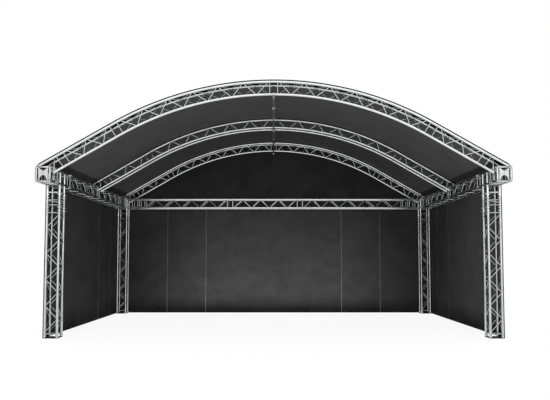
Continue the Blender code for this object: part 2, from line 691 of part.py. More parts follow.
def build_walls():
    """The rear wall and the two side walls, from the floor to the underside of the beams."""
    top = BEAM_BOTTOM - WALL_TOP_CLEARANCE
    edge = CANOPY_INNER_X + WALL_THICKNESS
    rear = bmesh.new()
    low = Vector((-edge, REAR_WALL_Y, WALL_FLOOR_CLEARANCE))
    add_box(rear, low, Vector((edge, REAR_WALL_Y + WALL_THICKNESS, top)))
    object_from_bmesh("rear_wall", rear, CLOTH, ROOF)
    for side_name, sign in SIDES.items():
        side = bmesh.new()
        low = Vector((sign * CANOPY_INNER_X, FRONT_LEG_Y - TRUSS_OUTSIDE, WALL_FLOOR_CLEARANCE))
        add_box(side, low, Vector((sign * edge, REAR_LEG_Y + TRUSS_OUTSIDE, top)))
        object_from_bmesh("side_wall_" + side_name, side, CLOTH, ROOF)


def build_roof():
    """Every piece, from the floor up."""
    for side_name, sign in SIDES.items():
        x = sign * LEG_X
        build_leg("front_" + side_name, x, FRONT_LEG_Y)
        build_leg("rear_" + side_name, x, REAR_LEG_Y)
        corner_block("front_tee_block_" + side_name, x, FRONT_LEG_Y, [Y_AXIS, -Y_AXIS])
        corner_block("rear_corner_block_" + side_name, x, REAR_LEG_Y, [-Y_AXIS, -sign * X_AXIS])
        beam_end(side_name, sign)
        end_plate(side_name, sign)
        build_side_beam(side_name, sign)
        side_clamp(side_name, sign)
    build_rear_beam()
    build_arches({"front": FRONT_ARCH_Y, "rear": REAR_ARCH_Y}, True)
    build_arches({"middle": MIDDLE_ARCH_Y}, False)
    tube_front, tube_rear = FRONT_ARCH_Y - RIDGE_TUBE_OVERHANG, REAR_ARCH_Y + RIDGE_TUBE_OVERHANG
    ridge_tube("ridge_tube_front", tube_front, MIDDLE_ARCH_Y - GAP / 2, RIDGE_COLLARS_FRONT)
    ridge_tube("ridge_tube_rear", MIDDLE_ARCH_Y + GAP / 2, tube_rear, RIDGE_COLLARS_REAR)
    ridge_clamp("front", FRONT_ARCH_Y)
    ridge_clamp("middle", MIDDLE_ARCH_Y - HALF_SPACING)
    ridge_clamp("rear", REAR_ARCH_Y)
    build_canopy()
    build_gable()
    build_walls()


remove_scene_objects()
ROOF = new_collection("arched_truss_stage_roof")
ALUMINIUM = new_material("aluminium_tube", (0.72, 0.73, 0.74), 0.32, 1.0)
STEEL = new_material("base_plate_steel", (0.03, 0.03, 0.03), 0.5, 0.3)
CLOTH = new_material("black_cloth", (0.02, 0.02, 0.022), 0.7, 0.0)
build_roof()
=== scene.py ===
# %% [markdown]
# # An arched truss stage roof
#
# The object is a free-standing outdoor stage roof: bright aluminium truss below, taut black cloth
# above and behind. The imported CAD model gives every piece its place and size. This lesson dresses
# that frame: round welded tubes in place of the faceted bars, the couplers and pins that hold the
# trusses together, and the cloths with their hems, seams and faint wrinkles.
#
# The frame loads first, because every later piece is placed by the boxes of its nodes.

# %% Load the frame
import json
import math

import bmesh
import bpy
from mathutils import Matrix, Vector, noise

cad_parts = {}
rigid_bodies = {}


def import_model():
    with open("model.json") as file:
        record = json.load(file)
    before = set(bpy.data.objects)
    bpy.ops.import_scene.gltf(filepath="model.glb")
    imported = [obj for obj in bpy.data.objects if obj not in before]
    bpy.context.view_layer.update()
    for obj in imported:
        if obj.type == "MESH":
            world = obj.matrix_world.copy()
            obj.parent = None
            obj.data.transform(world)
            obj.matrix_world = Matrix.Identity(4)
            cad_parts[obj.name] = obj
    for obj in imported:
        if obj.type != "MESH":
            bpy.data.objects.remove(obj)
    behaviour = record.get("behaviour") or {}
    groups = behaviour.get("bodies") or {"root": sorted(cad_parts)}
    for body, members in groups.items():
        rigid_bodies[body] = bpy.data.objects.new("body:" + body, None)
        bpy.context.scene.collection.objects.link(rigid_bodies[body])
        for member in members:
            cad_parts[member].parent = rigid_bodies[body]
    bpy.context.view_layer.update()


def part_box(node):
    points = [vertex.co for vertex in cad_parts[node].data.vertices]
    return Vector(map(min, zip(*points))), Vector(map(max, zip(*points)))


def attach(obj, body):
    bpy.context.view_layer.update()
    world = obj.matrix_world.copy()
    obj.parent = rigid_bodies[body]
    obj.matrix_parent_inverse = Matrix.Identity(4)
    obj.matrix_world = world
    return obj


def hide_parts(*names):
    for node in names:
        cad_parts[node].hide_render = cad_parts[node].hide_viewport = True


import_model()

# %% [markdown]
# The few driving sizes of the roof are written once. They are the sizes of the truss itself: how
# far apart its chords are, how thick its tubes are, and where a joint has its rungs.

# %% Driving sizes, in metres
CHORD_SPACING = 0.239
CHORD_RADIUS = 0.025
ARCH_CHORD_RADIUS = 0.024
BRACE_RADIUS = 0.0080
CHORD_SIDES = 24
BRACE_SIDES = 12
RUNG_INSET = 0.075
SQUARE_INSET = 0.103
SQUARE_SPAN = 0.255
MERGE = 1e-6
HALF_SPACING = CHORD_SPACING / 2
X_AXIS, Y_AXIS, Z_AXIS = Vector((1, 0, 0)), Vector((0, 1, 0)), Vector((0, 0, 1))
SIDES = {"left": -1, "right": 1}
CORNERS = ("front_left", "front_right", "rear_left", "rear_right")


def box(node):
    """The lowest and highest corner of a node, and its middle."""
    low, high = (Vector(corner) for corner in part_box(node))
    return low, high, (low + high) / 2


FRONT_LEG_Y = box("leg_truss_front_left")[2].y
REAR_LEG_Y = box("leg_truss_rear_left")[2].y
LEG_X = box("leg_truss_front_right")[2].x
print("leg axes, metres:", round(2 * LEG_X, 3), "by", round(REAR_LEG_Y - FRONT_LEG_Y, 3))

# %% [markdown]
# ## The camera
#
# The photograph is a level studio view from head height, straight in front, with the picture
# shifted up rather than the camera tilted far. The lens, height and distance were found by fitting
# the legs, the joints of the rear beam and the outline of the front arch. The camera comes first,
# because every later choice is judged through it.

# %% Camera
CAMERA_PLACE = (0.0, -13.80, 1.515)
CAMERA_PITCH = math.radians(3.32)
IMAGE_WIDTH = 550
FOCAL_PIXELS = 583.2
SENSOR_WIDTH = 36.0
PICTURE_SHIFT = (0.0024, 0.04705)
VIEW_DEPTH = 200.0
scene = bpy.context.scene


def new_object(name, data):
    """An object at the origin, linked to the scene."""
    made = bpy.data.objects.new(name, data)
    scene.collection.objects.link(made)
    return made


camera_data = bpy.data.cameras.new("camera")
camera_data.sensor_width = SENSOR_WIDTH
camera_data.lens = FOCAL_PIXELS / IMAGE_WIDTH * SENSOR_WIDTH
camera_data.shift_x, camera_data.shift_y = PICTURE_SHIFT
camera_data.clip_end = VIEW_DEPTH
camera = new_object("camera", camera_data)
camera.location = CAMERA_PLACE
camera.rotation_euler = (math.pi / 2 + CAMERA_PITCH, 0, 0)
scene.camera = camera
print("lens, mm:", round(camera_data.lens, 2))

# %% [markdown]
# ## Materials
#
# A material here is a small node tree. The helper makes a Principled shader with its constant
# values set on the sockets, and hands back the tree, so that each finish can add its own texture
# nodes. Patterns read Object coordinates, which are metres here because every piece sits at the
# origin, or the piece's own UV map where the pattern follows a tube or a cloth.

# %% Material helpers
MIX_FIRST, MIX_SECOND, MIX_RESULT = 6, 7, 2  # the colour sockets of a Mix node


def new_finish(name, colour, roughness, metallic=0.0, specular=0.5):
    """A material with a Principled shader, and its node tree."""
    material = bpy.data.materials.new(name)
    material.use_nodes = True
    tree = material.node_tree
    shader = tree.nodes["Principled BSDF"]
    shader.inputs["Base Color"].default_value = (*colour, 1)
    shader.inputs["Roughness"].default_value = roughness
    shader.inputs["Metallic"].default_value = metallic
    shader.inputs["Specular IOR Level"].default_value = specular
    material.diffuse_color = (*colour, 1)
    return material, tree, shader


def add_node(tree, kind, links=None, **values):
    """Add a node, set its properties and input values, and link its inputs from other sockets."""
    node = tree.nodes.new(kind)
    for key, value in values.items():
        if key.startswith("in_"):
            node.inputs[key[3:].replace("_", " ")].default_value = value
        else:
            setattr(node, key, value)
    for key, socket in (links or {}).items():
        tree.links.new(socket, node.inputs[key])
    return node


def scaled_coordinates(tree, source, scale, shift=(0, 0, 0)):
    """Texture coordinates, Object or UV, scaled along each axis and then shifted."""
    start = add_node(tree, "ShaderNodeTexCoord")
    mapping = add_node(
        tree, "ShaderNodeMapping", {"Vector": start.outputs[source]}, in_Scale=scale,
        in_Location=shift)
    return mapping.outputs["Vector"]


def noise_value(tree, scale, detail=3.0, roughness=0.5, source="Object"):
    """A noise texture's value; scale is one number, or one for each axis."""
    if not isinstance(scale, tuple):
        scale = (scale,) * 3
    texture = add_node(
        tree, "ShaderNodeTexNoise", {"Vector": scaled_coordinates(tree, source, scale)}, in_Scale=1.0,
        in_Detail=detail, in_Roughness=roughness)
    return texture.outputs["Fac"]


def value_range(tree, socket, low, high, to_low=0.0, to_high=1.0):
    """Map a value from one range to another, and clamp it."""
    node = add_node(
        tree, "ShaderNodeMapRange", {"Value": socket}, in_From_Min=low, in_From_Max=high,
        in_To_Min=to_low, in_To_Max=to_high)
    return node.outputs["Result"]


def combined(tree, operation, first, second):
    """Two values put together by a maths node."""
    node = add_node(tree, "ShaderNodeMath", {0: first, 1: second}, operation=operation)
    return node.outputs["Value"]


def colour_between(tree, share, first, second):
    """Blend two colours by a value from 0 to 1; the first can be a socket."""
    node = add_node(tree, "ShaderNodeMix", {"Factor": share}, data_type="RGBA")
    if isinstance(first, tuple):
        node.inputs[MIX_FIRST].default_value = (*first, 1)
    else:
        tree.links.new(first, node.inputs[MIX_FIRST])
    node.inputs[MIX_SECOND].default_value = (*second, 1)
    return node.outputs[MIX_RESULT]


def add_bump(tree, shader, layers):
    """Chain bump nodes, each given as (height socket, strength, distance), into the shader."""
    normal = None
    for height, strength, distance in layers:
        links = {"Height": height}
        if normal is not None:
            links["Normal"] = normal
        node = add_node(tree, "ShaderNodeBump", links, in_Strength=strength, in_Distance=distance)
        normal = node.outputs["Normal"]
    tree.links.new(normal, shader.inputs["Normal"])


# %% [markdown]
# The truss is bare extruded aluminium. It isn't a mirror: the die leaves fine lines along the
# tube, handling leaves cloudy patches, and bar ends get scuffed. The lines follow the tube, so
# they read the UV map, whose U runs along each tube in metres and whose V runs round it. The
# clouds read Object coordinates, so that they don't repeat from tube to tube.

# %% Bare aluminium tube
SPECULAR_TINT = (0.4, 0.4, 0.4, 1)


def aluminium_finish(name, bright, dull, roughness, metallic=1.0):
    """Extruded aluminium: die lines along the tube, cloudy oxide and small scuffs."""
    material, tree, shader = new_finish(name, bright, roughness[0], metallic=metallic)
    shader.inputs["Specular Tint"].default_value = SPECULAR_TINT
    clouds = noise_value(tree, 7, detail=5.0, roughness=0.6)
    lines = noise_value(tree, (4, 900, 1), detail=2.0, source="UV")
    scuffs = noise_value(tree, 60, detail=6.0, roughness=0.75)
    cloudy = value_range(tree, clouds, 0.35, 0.7)
    tree.links.new(colour_between(tree, cloudy, bright, dull), shader.inputs["Base Color"])
    dulled = combined(tree, "MAXIMUM", cloudy, value_range(tree, scuffs, 0.52, 0.72))
    tree.links.new(value_range(tree, dulled, 0.0, 1.0, *roughness), shader.inputs["Roughness"])
    add_bump(tree, shader, [(lines, 0.18, 0.0004), (scuffs, 0.08, 0.0006)])
    return material


TUBE = aluminium_finish(
    "aluminium_tube_bare", (0.60, 0.605, 0.61), (0.50, 0.505, 0.51), (0.15, 0.28))
# The two paler copies below are painted light: the same aluminium made brighter on the arches and on
# the beams, corner blocks, beam ends and rear arch.
ARCH_TUBE_PAINTED_LIGHT = aluminium_finish(
    "aluminium_tube_arch", (0.75, 0.755, 0.76), (0.65, 0.655, 0.66), (0.13, 0.25))
TUBE_PAINTED_LIGHT = aluminium_finish(
    "aluminium_tube_painted_light", (0.82, 0.825, 0.83), (0.72, 0.725, 0.73), (0.11, 0.22))
DULL_PIPE = aluminium_finish(
    "galvanised_pipe", (0.30, 0.30, 0.305), (0.22, 0.22, 0.225), (0.42, 0.60), metallic=0.35)
COUPLER = aluminium_finish(
    "sand_cast_coupler", (0.86, 0.86, 0.86), (0.76, 0.76, 0.76), (0.20, 0.32), metallic=0.9)
CASTING = aluminium_finish(
    "aluminium_casting", (0.56, 0.56, 0.565), (0.48, 0.48, 0.485), (0.28, 0.42))

# %% [markdown]
# A weld bead is the same metal, but melted: dimpled like a stack of coins, with a greyer, sooty
# rim. Small beads get this from bump alone, because each one is only a few millimetres across.

# %% Weld metal and fittings


def weld_finish():
    """A dimpled weld with a slightly smoky colour."""
    material, tree, shader = new_finish("weld_bead", (0.42, 0.42, 0.43), 0.5, metallic=1.0)
    dimples = noise_value(tree, 420, detail=2.0)
    smoke = value_range(tree, noise_value(tree, 45), 0.35, 0.65)
    tinted = colour_between(tree, smoke, (0.46, 0.46, 0.465), (0.32, 0.32, 0.33))
    tree.links.new(tinted, shader.inputs["Base Color"])
    add_bump(tree, shader, [(dimples, 0.6, 0.0012)])
    return material


def zinc_finish():
    """Bright zinc on the steel pins, clips and bolts, with a faint spangle."""
    material, tree, shader = new_finish("zinc_plated_steel", (0.78, 0.78, 0.765), 0.22, metallic=1.0)
    spangle = noise_value(tree, 150, detail=2.0)
    tree.links.new(value_range(tree, spangle, 0.3, 0.7, 0.16, 0.34), shader.inputs["Roughness"])
    add_bump(tree, shader, [(spangle, 0.1, 0.0003)])
    return material


def plate_finish():
    """Black powder coat on the base plates, worn a little grey, with a fine orange peel."""
    material, tree, shader = new_finish("black_coated_steel", (0.02, 0.02, 0.02), 0.5)
    peel = noise_value(tree, 700, detail=1.0)
    wear = noise_value(tree, 28, detail=7.0, roughness=0.7)
    worn = value_range(tree, wear, 0.56, 0.72)
    coat = colour_between(tree, worn, (0.018, 0.018, 0.019), (0.075, 0.075, 0.075))
    tree.links.new(coat, shader.inputs["Base Color"])
    tree.links.new(value_range(tree, wear, 0.4, 0.7, 0.42, 0.62), shader.inputs["Roughness"])
    add_bump(tree, shader, [(peel, 0.25, 0.0003)])
    return material


WELD = weld_finish()
ZINC = zinc_finish()
PLATE = plate_finish()

# %% [markdown]
# The cloth is polyester coated with black vinyl on the vault and a duller woven mesh on the walls.
# Both are almost black, but not quite: a pure black would hide the folds. A plain weave is two
# sine waves at right angles along the cloth's own UV map, two or three millimetres to a thread.
# Large soft noise gives the mottled sheen. Over it the walls carry a painted pool of light, pale and
# cloudy round one place and gone at the foot, and the foot itself is darkened with painted shade.
# Darker copies of the cloth paint shade on the gable, near the eaves and along the canopy's front
# edge. Colours are given as grey levels.

# %% Cloth
# The painted pool of light on a wall fades out at its foot and towards its top.
POOL_FOOT = (0.0, 0.25)
POOL_FADE = (0.80, 2.85)
CLOUD_LOW = 0.62
# Painted shade at the foot of a wall: how high it reaches, and the share of the colour left at the
# floor.
FOOT_SHADE_HEIGHT = 0.48
FOOT_SHADE_LEVEL = 0.04
SHEEN_ROUGHNESS = 0.5
COATED_WEAVE, MESH_WEAVE, TAPE_WEAVE = (0.0022, 0.25), (0.0028, 0.4), (0.0016, 0.6)
# Centre, reach and share left at the top of the painted pools of light: on the rear wall and its
# seams, and near the front of the right wall.
REAR_LIGHT_POOL = ((0.05, 2.9, 0.6), (4.25, 9.0, 9.0), 0.28)
SIDE_LIGHT_POOL = ((4.45, -2.3, 1.1), (4.0, 4.6, 3.6), 1.0)


def floor_height(tree):
    """The height above the floor, in metres."""
    start = add_node(tree, "ShaderNodeTexCoord")
    return add_node(tree, "ShaderNodeSeparateXYZ", {"Vector": start.outputs["Object"]}).outputs["Z"]


def painted_foot_shade(tree, colour):
    """Darken a colour towards the floor: painted shade at the foot of a wall."""
    share = value_range(tree, floor_height(tree), 0.0, FOOT_SHADE_HEIGHT, FOOT_SHADE_LEVEL)
    scaled = add_node(tree, "ShaderNodeVectorMath", {0: colour, 1: share}, operation="MULTIPLY")
    return scaled.outputs["Vector"]


def painted_light_pool(tree, colour, light_pool, centre, reach, top_share):
    """A painted pool of light over a colour: pale and cloudy, strongest at a centre and gone at the
    foot of the wall.
    """
    shift = [-place / size for place, size in zip(centre, reach)]
    vector = scaled_coordinates(tree, "Object", [1 / size for size in reach], shift)
    ball = add_node(tree, "ShaderNodeTexGradient", {"Vector": vector}, gradient_type="SPHERICAL")
    share = value_range(tree, ball.outputs["Fac"], 0.0, 0.55)
    clouds = noise_value(tree, (2.4, 2.4, 3.0), 7.0, 0.66)
    height = floor_height(tree)
    for other in (
            value_range(tree, clouds, 0.34, 0.64, CLOUD_LOW),
            value_range(tree, height, *POOL_FOOT),
            value_range(tree, height, *POOL_FADE, 1.0, top_share)):
        share = combined(tree, "MULTIPLY", share, other)
    return colour_between(tree, share, colour, (light_pool,) * 3)


def cloth_finish(
        name, dark, pale, roughness, weave, specular, light_pool=None, sheen=0.05, with_foot_shade=False):
    """Black coated cloth: plain weave, mottled sheen and soft creases.

    weave is the width of a thread and the strength of its bump.
    """
    dark, pale = (dark,) * 3, (pale,) * 3
    thread, weave_strength = weave
    material, tree, shader = new_finish(name, dark, roughness[0], specular=specular)
    shader.inputs["Sheen Weight"].default_value = sheen
    shader.inputs["Sheen Roughness"].default_value = SHEEN_ROUGHNESS
    mottle = noise_value(tree, 1.6, detail=6.0, roughness=0.6)
    specks = noise_value(tree, 35, detail=4.0, roughness=0.7)
    creases = noise_value(tree, (5, 5, 2.5), detail=4.0, roughness=0.55)
    patch = value_range(tree, mottle, 0.36, 0.68)
    colour = colour_between(tree, patch, dark, pale)
    # A painted pool of light over the cloth's colour.
    if light_pool:
        colour = painted_light_pool(tree, colour, *light_pool)
    # Painted shade darkens the walls towards the floor.
    if with_foot_shade:
        colour = painted_foot_shade(tree, colour)
    tree.links.new(colour, shader.inputs["Base Color"])
    matt = combined(tree, "SUBTRACT", patch, specks)
    rough = value_range(tree, matt, -0.6, 0.6, *reversed(roughness))
    tree.links.new(rough, shader.inputs["Roughness"])
    threads = scaled_coordinates(tree, "UV", (1, 1, 1))
    waves = [
        add_node(
            tree, "ShaderNodeTexWave", {"Vector": threads}, wave_type="BANDS",
            bands_direction=direction, in_Scale=1 / thread / math.tau * 2).outputs["Fac"]
        for direction in ("X", "Y")]
    woven = combined(tree, "MULTIPLY", *waves)
    add_bump(tree, shader, [(woven, weave_strength, thread / 4), (creases, 0.12, 0.02)])
    return material


VINYL = cloth_finish("black_vault_cloth", 0.082, 0.100, (0.50, 0.64), COATED_WEAVE, 0.35)
# A near black copy of the vault cloth paints shade along the canopy's front edge.
EDGE_SHADE_CLOTH = cloth_finish("black_edge_cloth_painted_shade", 0.010, 0.014, (0.70, 0.85), COATED_WEAVE, 0.20)
# A darker copy of the wall cloth paints shade on the gable and on the canopy near the eaves.
SHADED_MESH_CLOTH = cloth_finish("black_mesh_cloth_painted_shade", 0.024, 0.034, (0.55, 0.75), MESH_WEAVE, 0.25)
# The walls and the rear seams carry a painted pool of light, whose grey comes first, and the walls
# have painted shade at their foot.
REAR_CLOTH = cloth_finish(
    "black_rear_cloth", 0.032, 0.046, (0.50, 0.70), MESH_WEAVE, 0.18,
    light_pool=(0.170, *REAR_LIGHT_POOL), sheen=0.02, with_foot_shade=True)
SIDE_CLOTH = cloth_finish(
    "black_side_cloth", 0.060, 0.082, (0.70, 0.88), MESH_WEAVE, 0.08,
    light_pool=(0.130, *SIDE_LIGHT_POOL), sheen=0.01, with_foot_shade=True)
WEBBING = cloth_finish("black_hem_webbing", 0.018, 0.026, (0.70, 0.85), TAPE_WEAVE, 0.20)
SEAM_TAPE = cloth_finish("black_seam_tape", 0.150, 0.180, (0.50, 0.62), TAPE_WEAVE, 0.35)
REAR_SEAM_TAPE = cloth_finish(
    "black_rear_seam_tape", 0.085, 0.120, (0.50, 0.62), TAPE_WEAVE, 0.35,
    light_pool=(0.480, *REAR_LIGHT_POOL), sheen=0.02)
print("materials:", ", ".join(sorted(material.name for material in bpy.data.materials)))

# %% [markdown]
# ## Tubes
#
# Every tube is a turned shape: a short profile of (distance along, radius) pairs, spun once round
# the tube's axis. That gives the chamfered ends and weld rings of a chord for free. The spin is
# done in a small mesh of its own, at the origin, so that the UV map can be read off plainly:
# U is the distance along, V the distance round. Then the tube is moved to its place and added.

# %% Turned tubes
SCRATCH = bpy.data.meshes.new("scratch")
SECOND, THIRD = 1, 2  # places in a piece's list of materials, after the first


def unroll(part, locate):
    """Write the UV map: locate gives (distance along, angle, radius) for a place on the tube."""
    layer = part.loops.layers.uv.verify()
    for face in part.faces:
        _, face_angle, _ = locate(face.calc_center_median())
        for loop in face.loops:
            along, angle, radius = locate(loop.vert.co)
            lean = (angle - face_angle + math.pi) % math.tau - math.pi
            loop[layer].uv = (along, (face_angle + lean) * radius)


def round_z(place):
    """Cylinder coordinates about Z."""
    return place.z, math.atan2(place.y, place.x), math.hypot(place.x, place.y)


def facing(direction):
    """A rotation that turns +Z to a direction."""
    return direction.to_track_quat("Z", "Y").to_matrix().to_4x4()


def add_part(solid, part, place, material=0):
    """Give a small mesh its material, move it to its place and add it to a bigger one."""
    for face in part.faces:
        face.material_index = material
    part.transform(place)
    part.to_mesh(SCRATCH)
    part.free()
    solid.from_mesh(SCRATCH)


def add_turned(solid, start, direction, profile, sides, material=0):
    """Spin a profile of (distance along, radius) pairs round the line from start."""
    part = bmesh.new()
    row = [part.verts.new((radius, 0, along)) for along, radius in profile]
    for pair in zip(row, row[1:]):
        part.edges.new(pair)
    bmesh.ops.spin(
        part, geom=part.verts[:] + part.edges[:], cent=(0, 0, 0), axis=(0, 0, 1), angle=math.tau,
        steps=sides, use_merge=True)
    bmesh.ops.remove_doubles(part, verts=part.verts, dist=MERGE)
    bmesh.ops.recalc_face_normals(part, faces=part.faces)
    unroll(part, round_z)
    add_part(solid, part, Matrix.Translation(start) @ facing(direction), material)


def rod_profile(length, radius, chamfer=0.0):
    """A plain rod with closed ends."""
    if chamfer == 0:
        return [(0, 0), (0, radius), (length, radius), (length, 0)]
    return [
        (0, 0), (0, radius - chamfer), (chamfer, radius), (length - chamfer, radius),
        (length, radius - chamfer), (length, 0)]


# %% [markdown]
# A chord ends in a cast receiver, welded in with a bead all round. Here the receiver is part of the
# chord's profile: a chamfer at the joint and the bead.

# %% Chord profile
RECEIVER_LENGTH = 0.058
RING_WELD = 0.0022
CHAMFER = 0.0025


def chord_profile(length, radius, mouth=()):
    """A chord with a receiver and a weld ring at each end; mouth is the bore of an open start."""
    near = [
        (0, 0), (0, radius - CHAMFER), (CHAMFER, radius), (RECEIVER_LENGTH - RING_WELD, radius),
        (RECEIVER_LENGTH, radius + RING_WELD), (RECEIVER_LENGTH + RING_WELD, radius)]
    far = [(length - along, width) for along, width in reversed(near)]
    return [*mouth, *near[1:], *far] if mouth else near + far


# %% [markdown]
# A brace runs from chord to chord and is welded all round its foot. The foot of a slanting round
# brace on a round chord is an oval, longer along the chord the flatter the brace lies. So the weld
# is a flattened ball on the chord's surface, stretched along the chord by one over the sine of
# that angle.

# %% Braces and their welds
WELD_WIDTH = 0.0030
WELD_HEIGHT = 0.0042
BRACE_DEPTH_IN_CHORD = 0.004


def add_weld(solid, foot, chord_way, out, slant, radius):
    """A flattened ball of weld metal round the foot of a brace."""
    across = chord_way.cross(out)
    size = radius + WELD_WIDTH
    frame_of_weld = Matrix((chord_way * size / slant, across * size, out * WELD_HEIGHT)).transposed()
    part = bmesh.new()
    bmesh.ops.create_uvsphere(part, u_segments=12, v_segments=6, radius=1)
    unroll(part, round_z)
    add_part(solid, part, Matrix.Translation(foot) @ frame_of_weld.to_4x4(), SECOND)


def add_brace(solid, ends, ways, chord_radius, radius=BRACE_RADIUS):
    """A round brace between two places on chord axes, with a weld at each foot.

    ways holds the direction of the chord at each end.
    """
    direction = (ends[1] - ends[0]).normalized()
    feet = []
    for place, way, sign in zip(ends, ways, (1, -1)):
        towards = direction * sign
        square = towards - way * towards.dot(way)
        slant = square.length
        reach = chord_radius / slant
        add_weld(solid, place + towards * reach, way, square.normalized(), slant, radius)
        feet.append(place + towards * (reach - BRACE_DEPTH_IN_CHORD / slant))
    length = (feet[1] - feet[0]).length
    add_turned(solid, feet[0], direction, rod_profile(length, radius), BRACE_SIDES)


def add_lattice(solid, point, way, pair, stations, chord_radius):
    """Braces between two chords: stations lists (first chord's, second chord's) distances."""
    for both in stations:
        ends = [point(chord, station) for chord, station in zip(pair, both)]
        add_brace(solid, ends, [way(station) for station in both], chord_radius)


def zigzag(inset, span, count, swapped=False):
    """Stations of a zigzag's braces, as pairs for the first and second chord."""
    stations = []
    for number in range(count):
        pair = (inset + number * span, inset + (number + 1) * span)
        stations.append(pair if (number % 2 == 0) != swapped else pair[::-1])
    return stations


def rungs(length):
    """Stations of the square rung near each end."""
    return [(RUNG_INSET, RUNG_INSET), (length - RUNG_INSET, length - RUNG_INSET)]


# %% [markdown]
# The last two helpers turn a bmesh into a finished piece. The normals are made to point outwards, the
# piece is shaded smooth with crisp edges and gets its materials, it is attached so that it moves with
# the roof, and the CAD nodes it stands for are hidden.

# %% Finish a piece


def enter_piece(name, data, nodes):
    """Put a mesh into the scene as a piece that moves with the roof."""
    piece = new_object(name, data)
    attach(piece, "root")
    if nodes:
        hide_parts(*nodes)
    return piece


def finish_piece(name, solid, materials, nodes=(), crisp=35):
    """Turn a bmesh into a piece of the roof."""
    data = bpy.data.meshes.new(name)
    bmesh.ops.recalc_face_normals(solid, faces=solid.faces)
    solid.to_mesh(data)
    solid.free()
    data.shade_smooth()
    data.set_sharp_from_angle(angle=math.radians(crisp))
    for material in materials:
        data.materials.append(material)
    return enter_piece(name, data, nodes)


# %% [markdown]
# ## Square trusses
#
# Legs, spacers and beams are one shape at different lengths: four chords, and on each face a rung
# near each end and a zigzag between. The braces of neighbouring faces start at different heights
# on a chord they share, so that no weld sits on another.

# %% Square trusses
ALONG_X = (X_AXIS, Y_AXIS, Z_AXIS)
ALONG_Y = (Y_AXIS, X_AXIS, Z_AXIS)
ALONG_Z = (Z_AXIS, X_AXIS, Y_AXIS)
FACE_PAIRS = ((0, 1), (1, 2), (3, 2), (0, 3))
SPACER_DIAGONAL = (0.170, 0.118)


def corner_places(side, up):
    """The four chord places of a square truss about its axis, in order round it."""
    return [
        (-side - up) * HALF_SPACING, (side - up) * HALF_SPACING,
        (side + up) * HALF_SPACING, (-side + up) * HALF_SPACING]


def square_truss(node, directions, extra=(), metal=TUBE):
    """A square truss in the place of its node; extra holds stations of further braces.

    directions holds the way along the truss and the two ways across it.
    """
    axis, side, up = directions
    low, high, middle = box(node)
    length = abs((high - low).dot(axis))
    start = middle - axis * length / 2
    corners = corner_places(side, up)

    def point(chord, station):
        return start + corners[chord] + axis * station

    solid = bmesh.new()
    for chord in range(4):
        add_turned(solid, point(chord, 0), axis, chord_profile(length, CHORD_RADIUS), CHORD_SIDES)
    count = round((length - 2 * SQUARE_INSET) / SQUARE_SPAN)
    span = (length - 2 * SQUARE_INSET) / max(count, 1)
    stations = rungs(length) + zigzag(SQUARE_INSET, span, count) + list(extra)
    for pair in FACE_PAIRS:
        add_lattice(solid, point, lambda station: axis, pair, stations, CHORD_RADIUS)
    finish_piece(node + "_tubes", solid, [metal, WELD], [node])


for place in CORNERS:
    square_truss("leg_truss_" + place, ALONG_Z)
    square_truss("leg_spacer_" + place, ALONG_Z, [SPACER_DIAGONAL])
# Beams and rear spacers take the paler copy of the metal: painted light.
for side_name in SIDES:
    square_truss("side_beam_front_" + side_name, ALONG_Y, metal=TUBE_PAINTED_LIGHT)
    square_truss("side_beam_rear_" + side_name, ALONG_Y, metal=TUBE_PAINTED_LIGHT)
    square_truss("rear_spacer_" + side_name, ALONG_X, metal=TUBE_PAINTED_LIGHT)
for place in ("left", "middle", "right"):
    square_truss("rear_beam_" + place, ALONG_X, metal=TUBE_PAINTED_LIGHT)
tube_names = [name for name in bpy.data.objects.keys() if name.endswith("_tubes")]
print("square trusses:", len(tube_names))

# %% [markdown]
# ## Corner blocks
#
# Where a leg meets the beams there is a welded block: a cage with an arm towards each truss. The
# front blocks reach forward, backward and down, the rear ones forward, inward and down. The chords
# along Y run through, the others start at them, and a diagonal stiffens each closed face.

# %% Corner blocks
CAGE_RADIUS = 0.014
ARM_OVERRUN = CHORD_RADIUS * 0.6
ARM_CHORD_RADIUS = CHORD_RADIUS - 0.0002
BEAM_AXIS_HEIGHT = box("side_beam_front_left")[2].z


def cage_bars(outer):
    """The bars across a block and the diagonals of its outer side and top.

    Each is (start, end, radius), with its ends in half spacings from the block's middle.
    """
    bars = [((-1, y, z), (1, y, z), CAGE_RADIUS) for z in (-1, 1) for y in (-1, 1)]
    bars.append(((outer, -1, -1), (outer, 1, 1), BRACE_RADIUS))
    bars.append(((-1, -1, 1), (1, 1, 1), BRACE_RADIUS))
    return bars


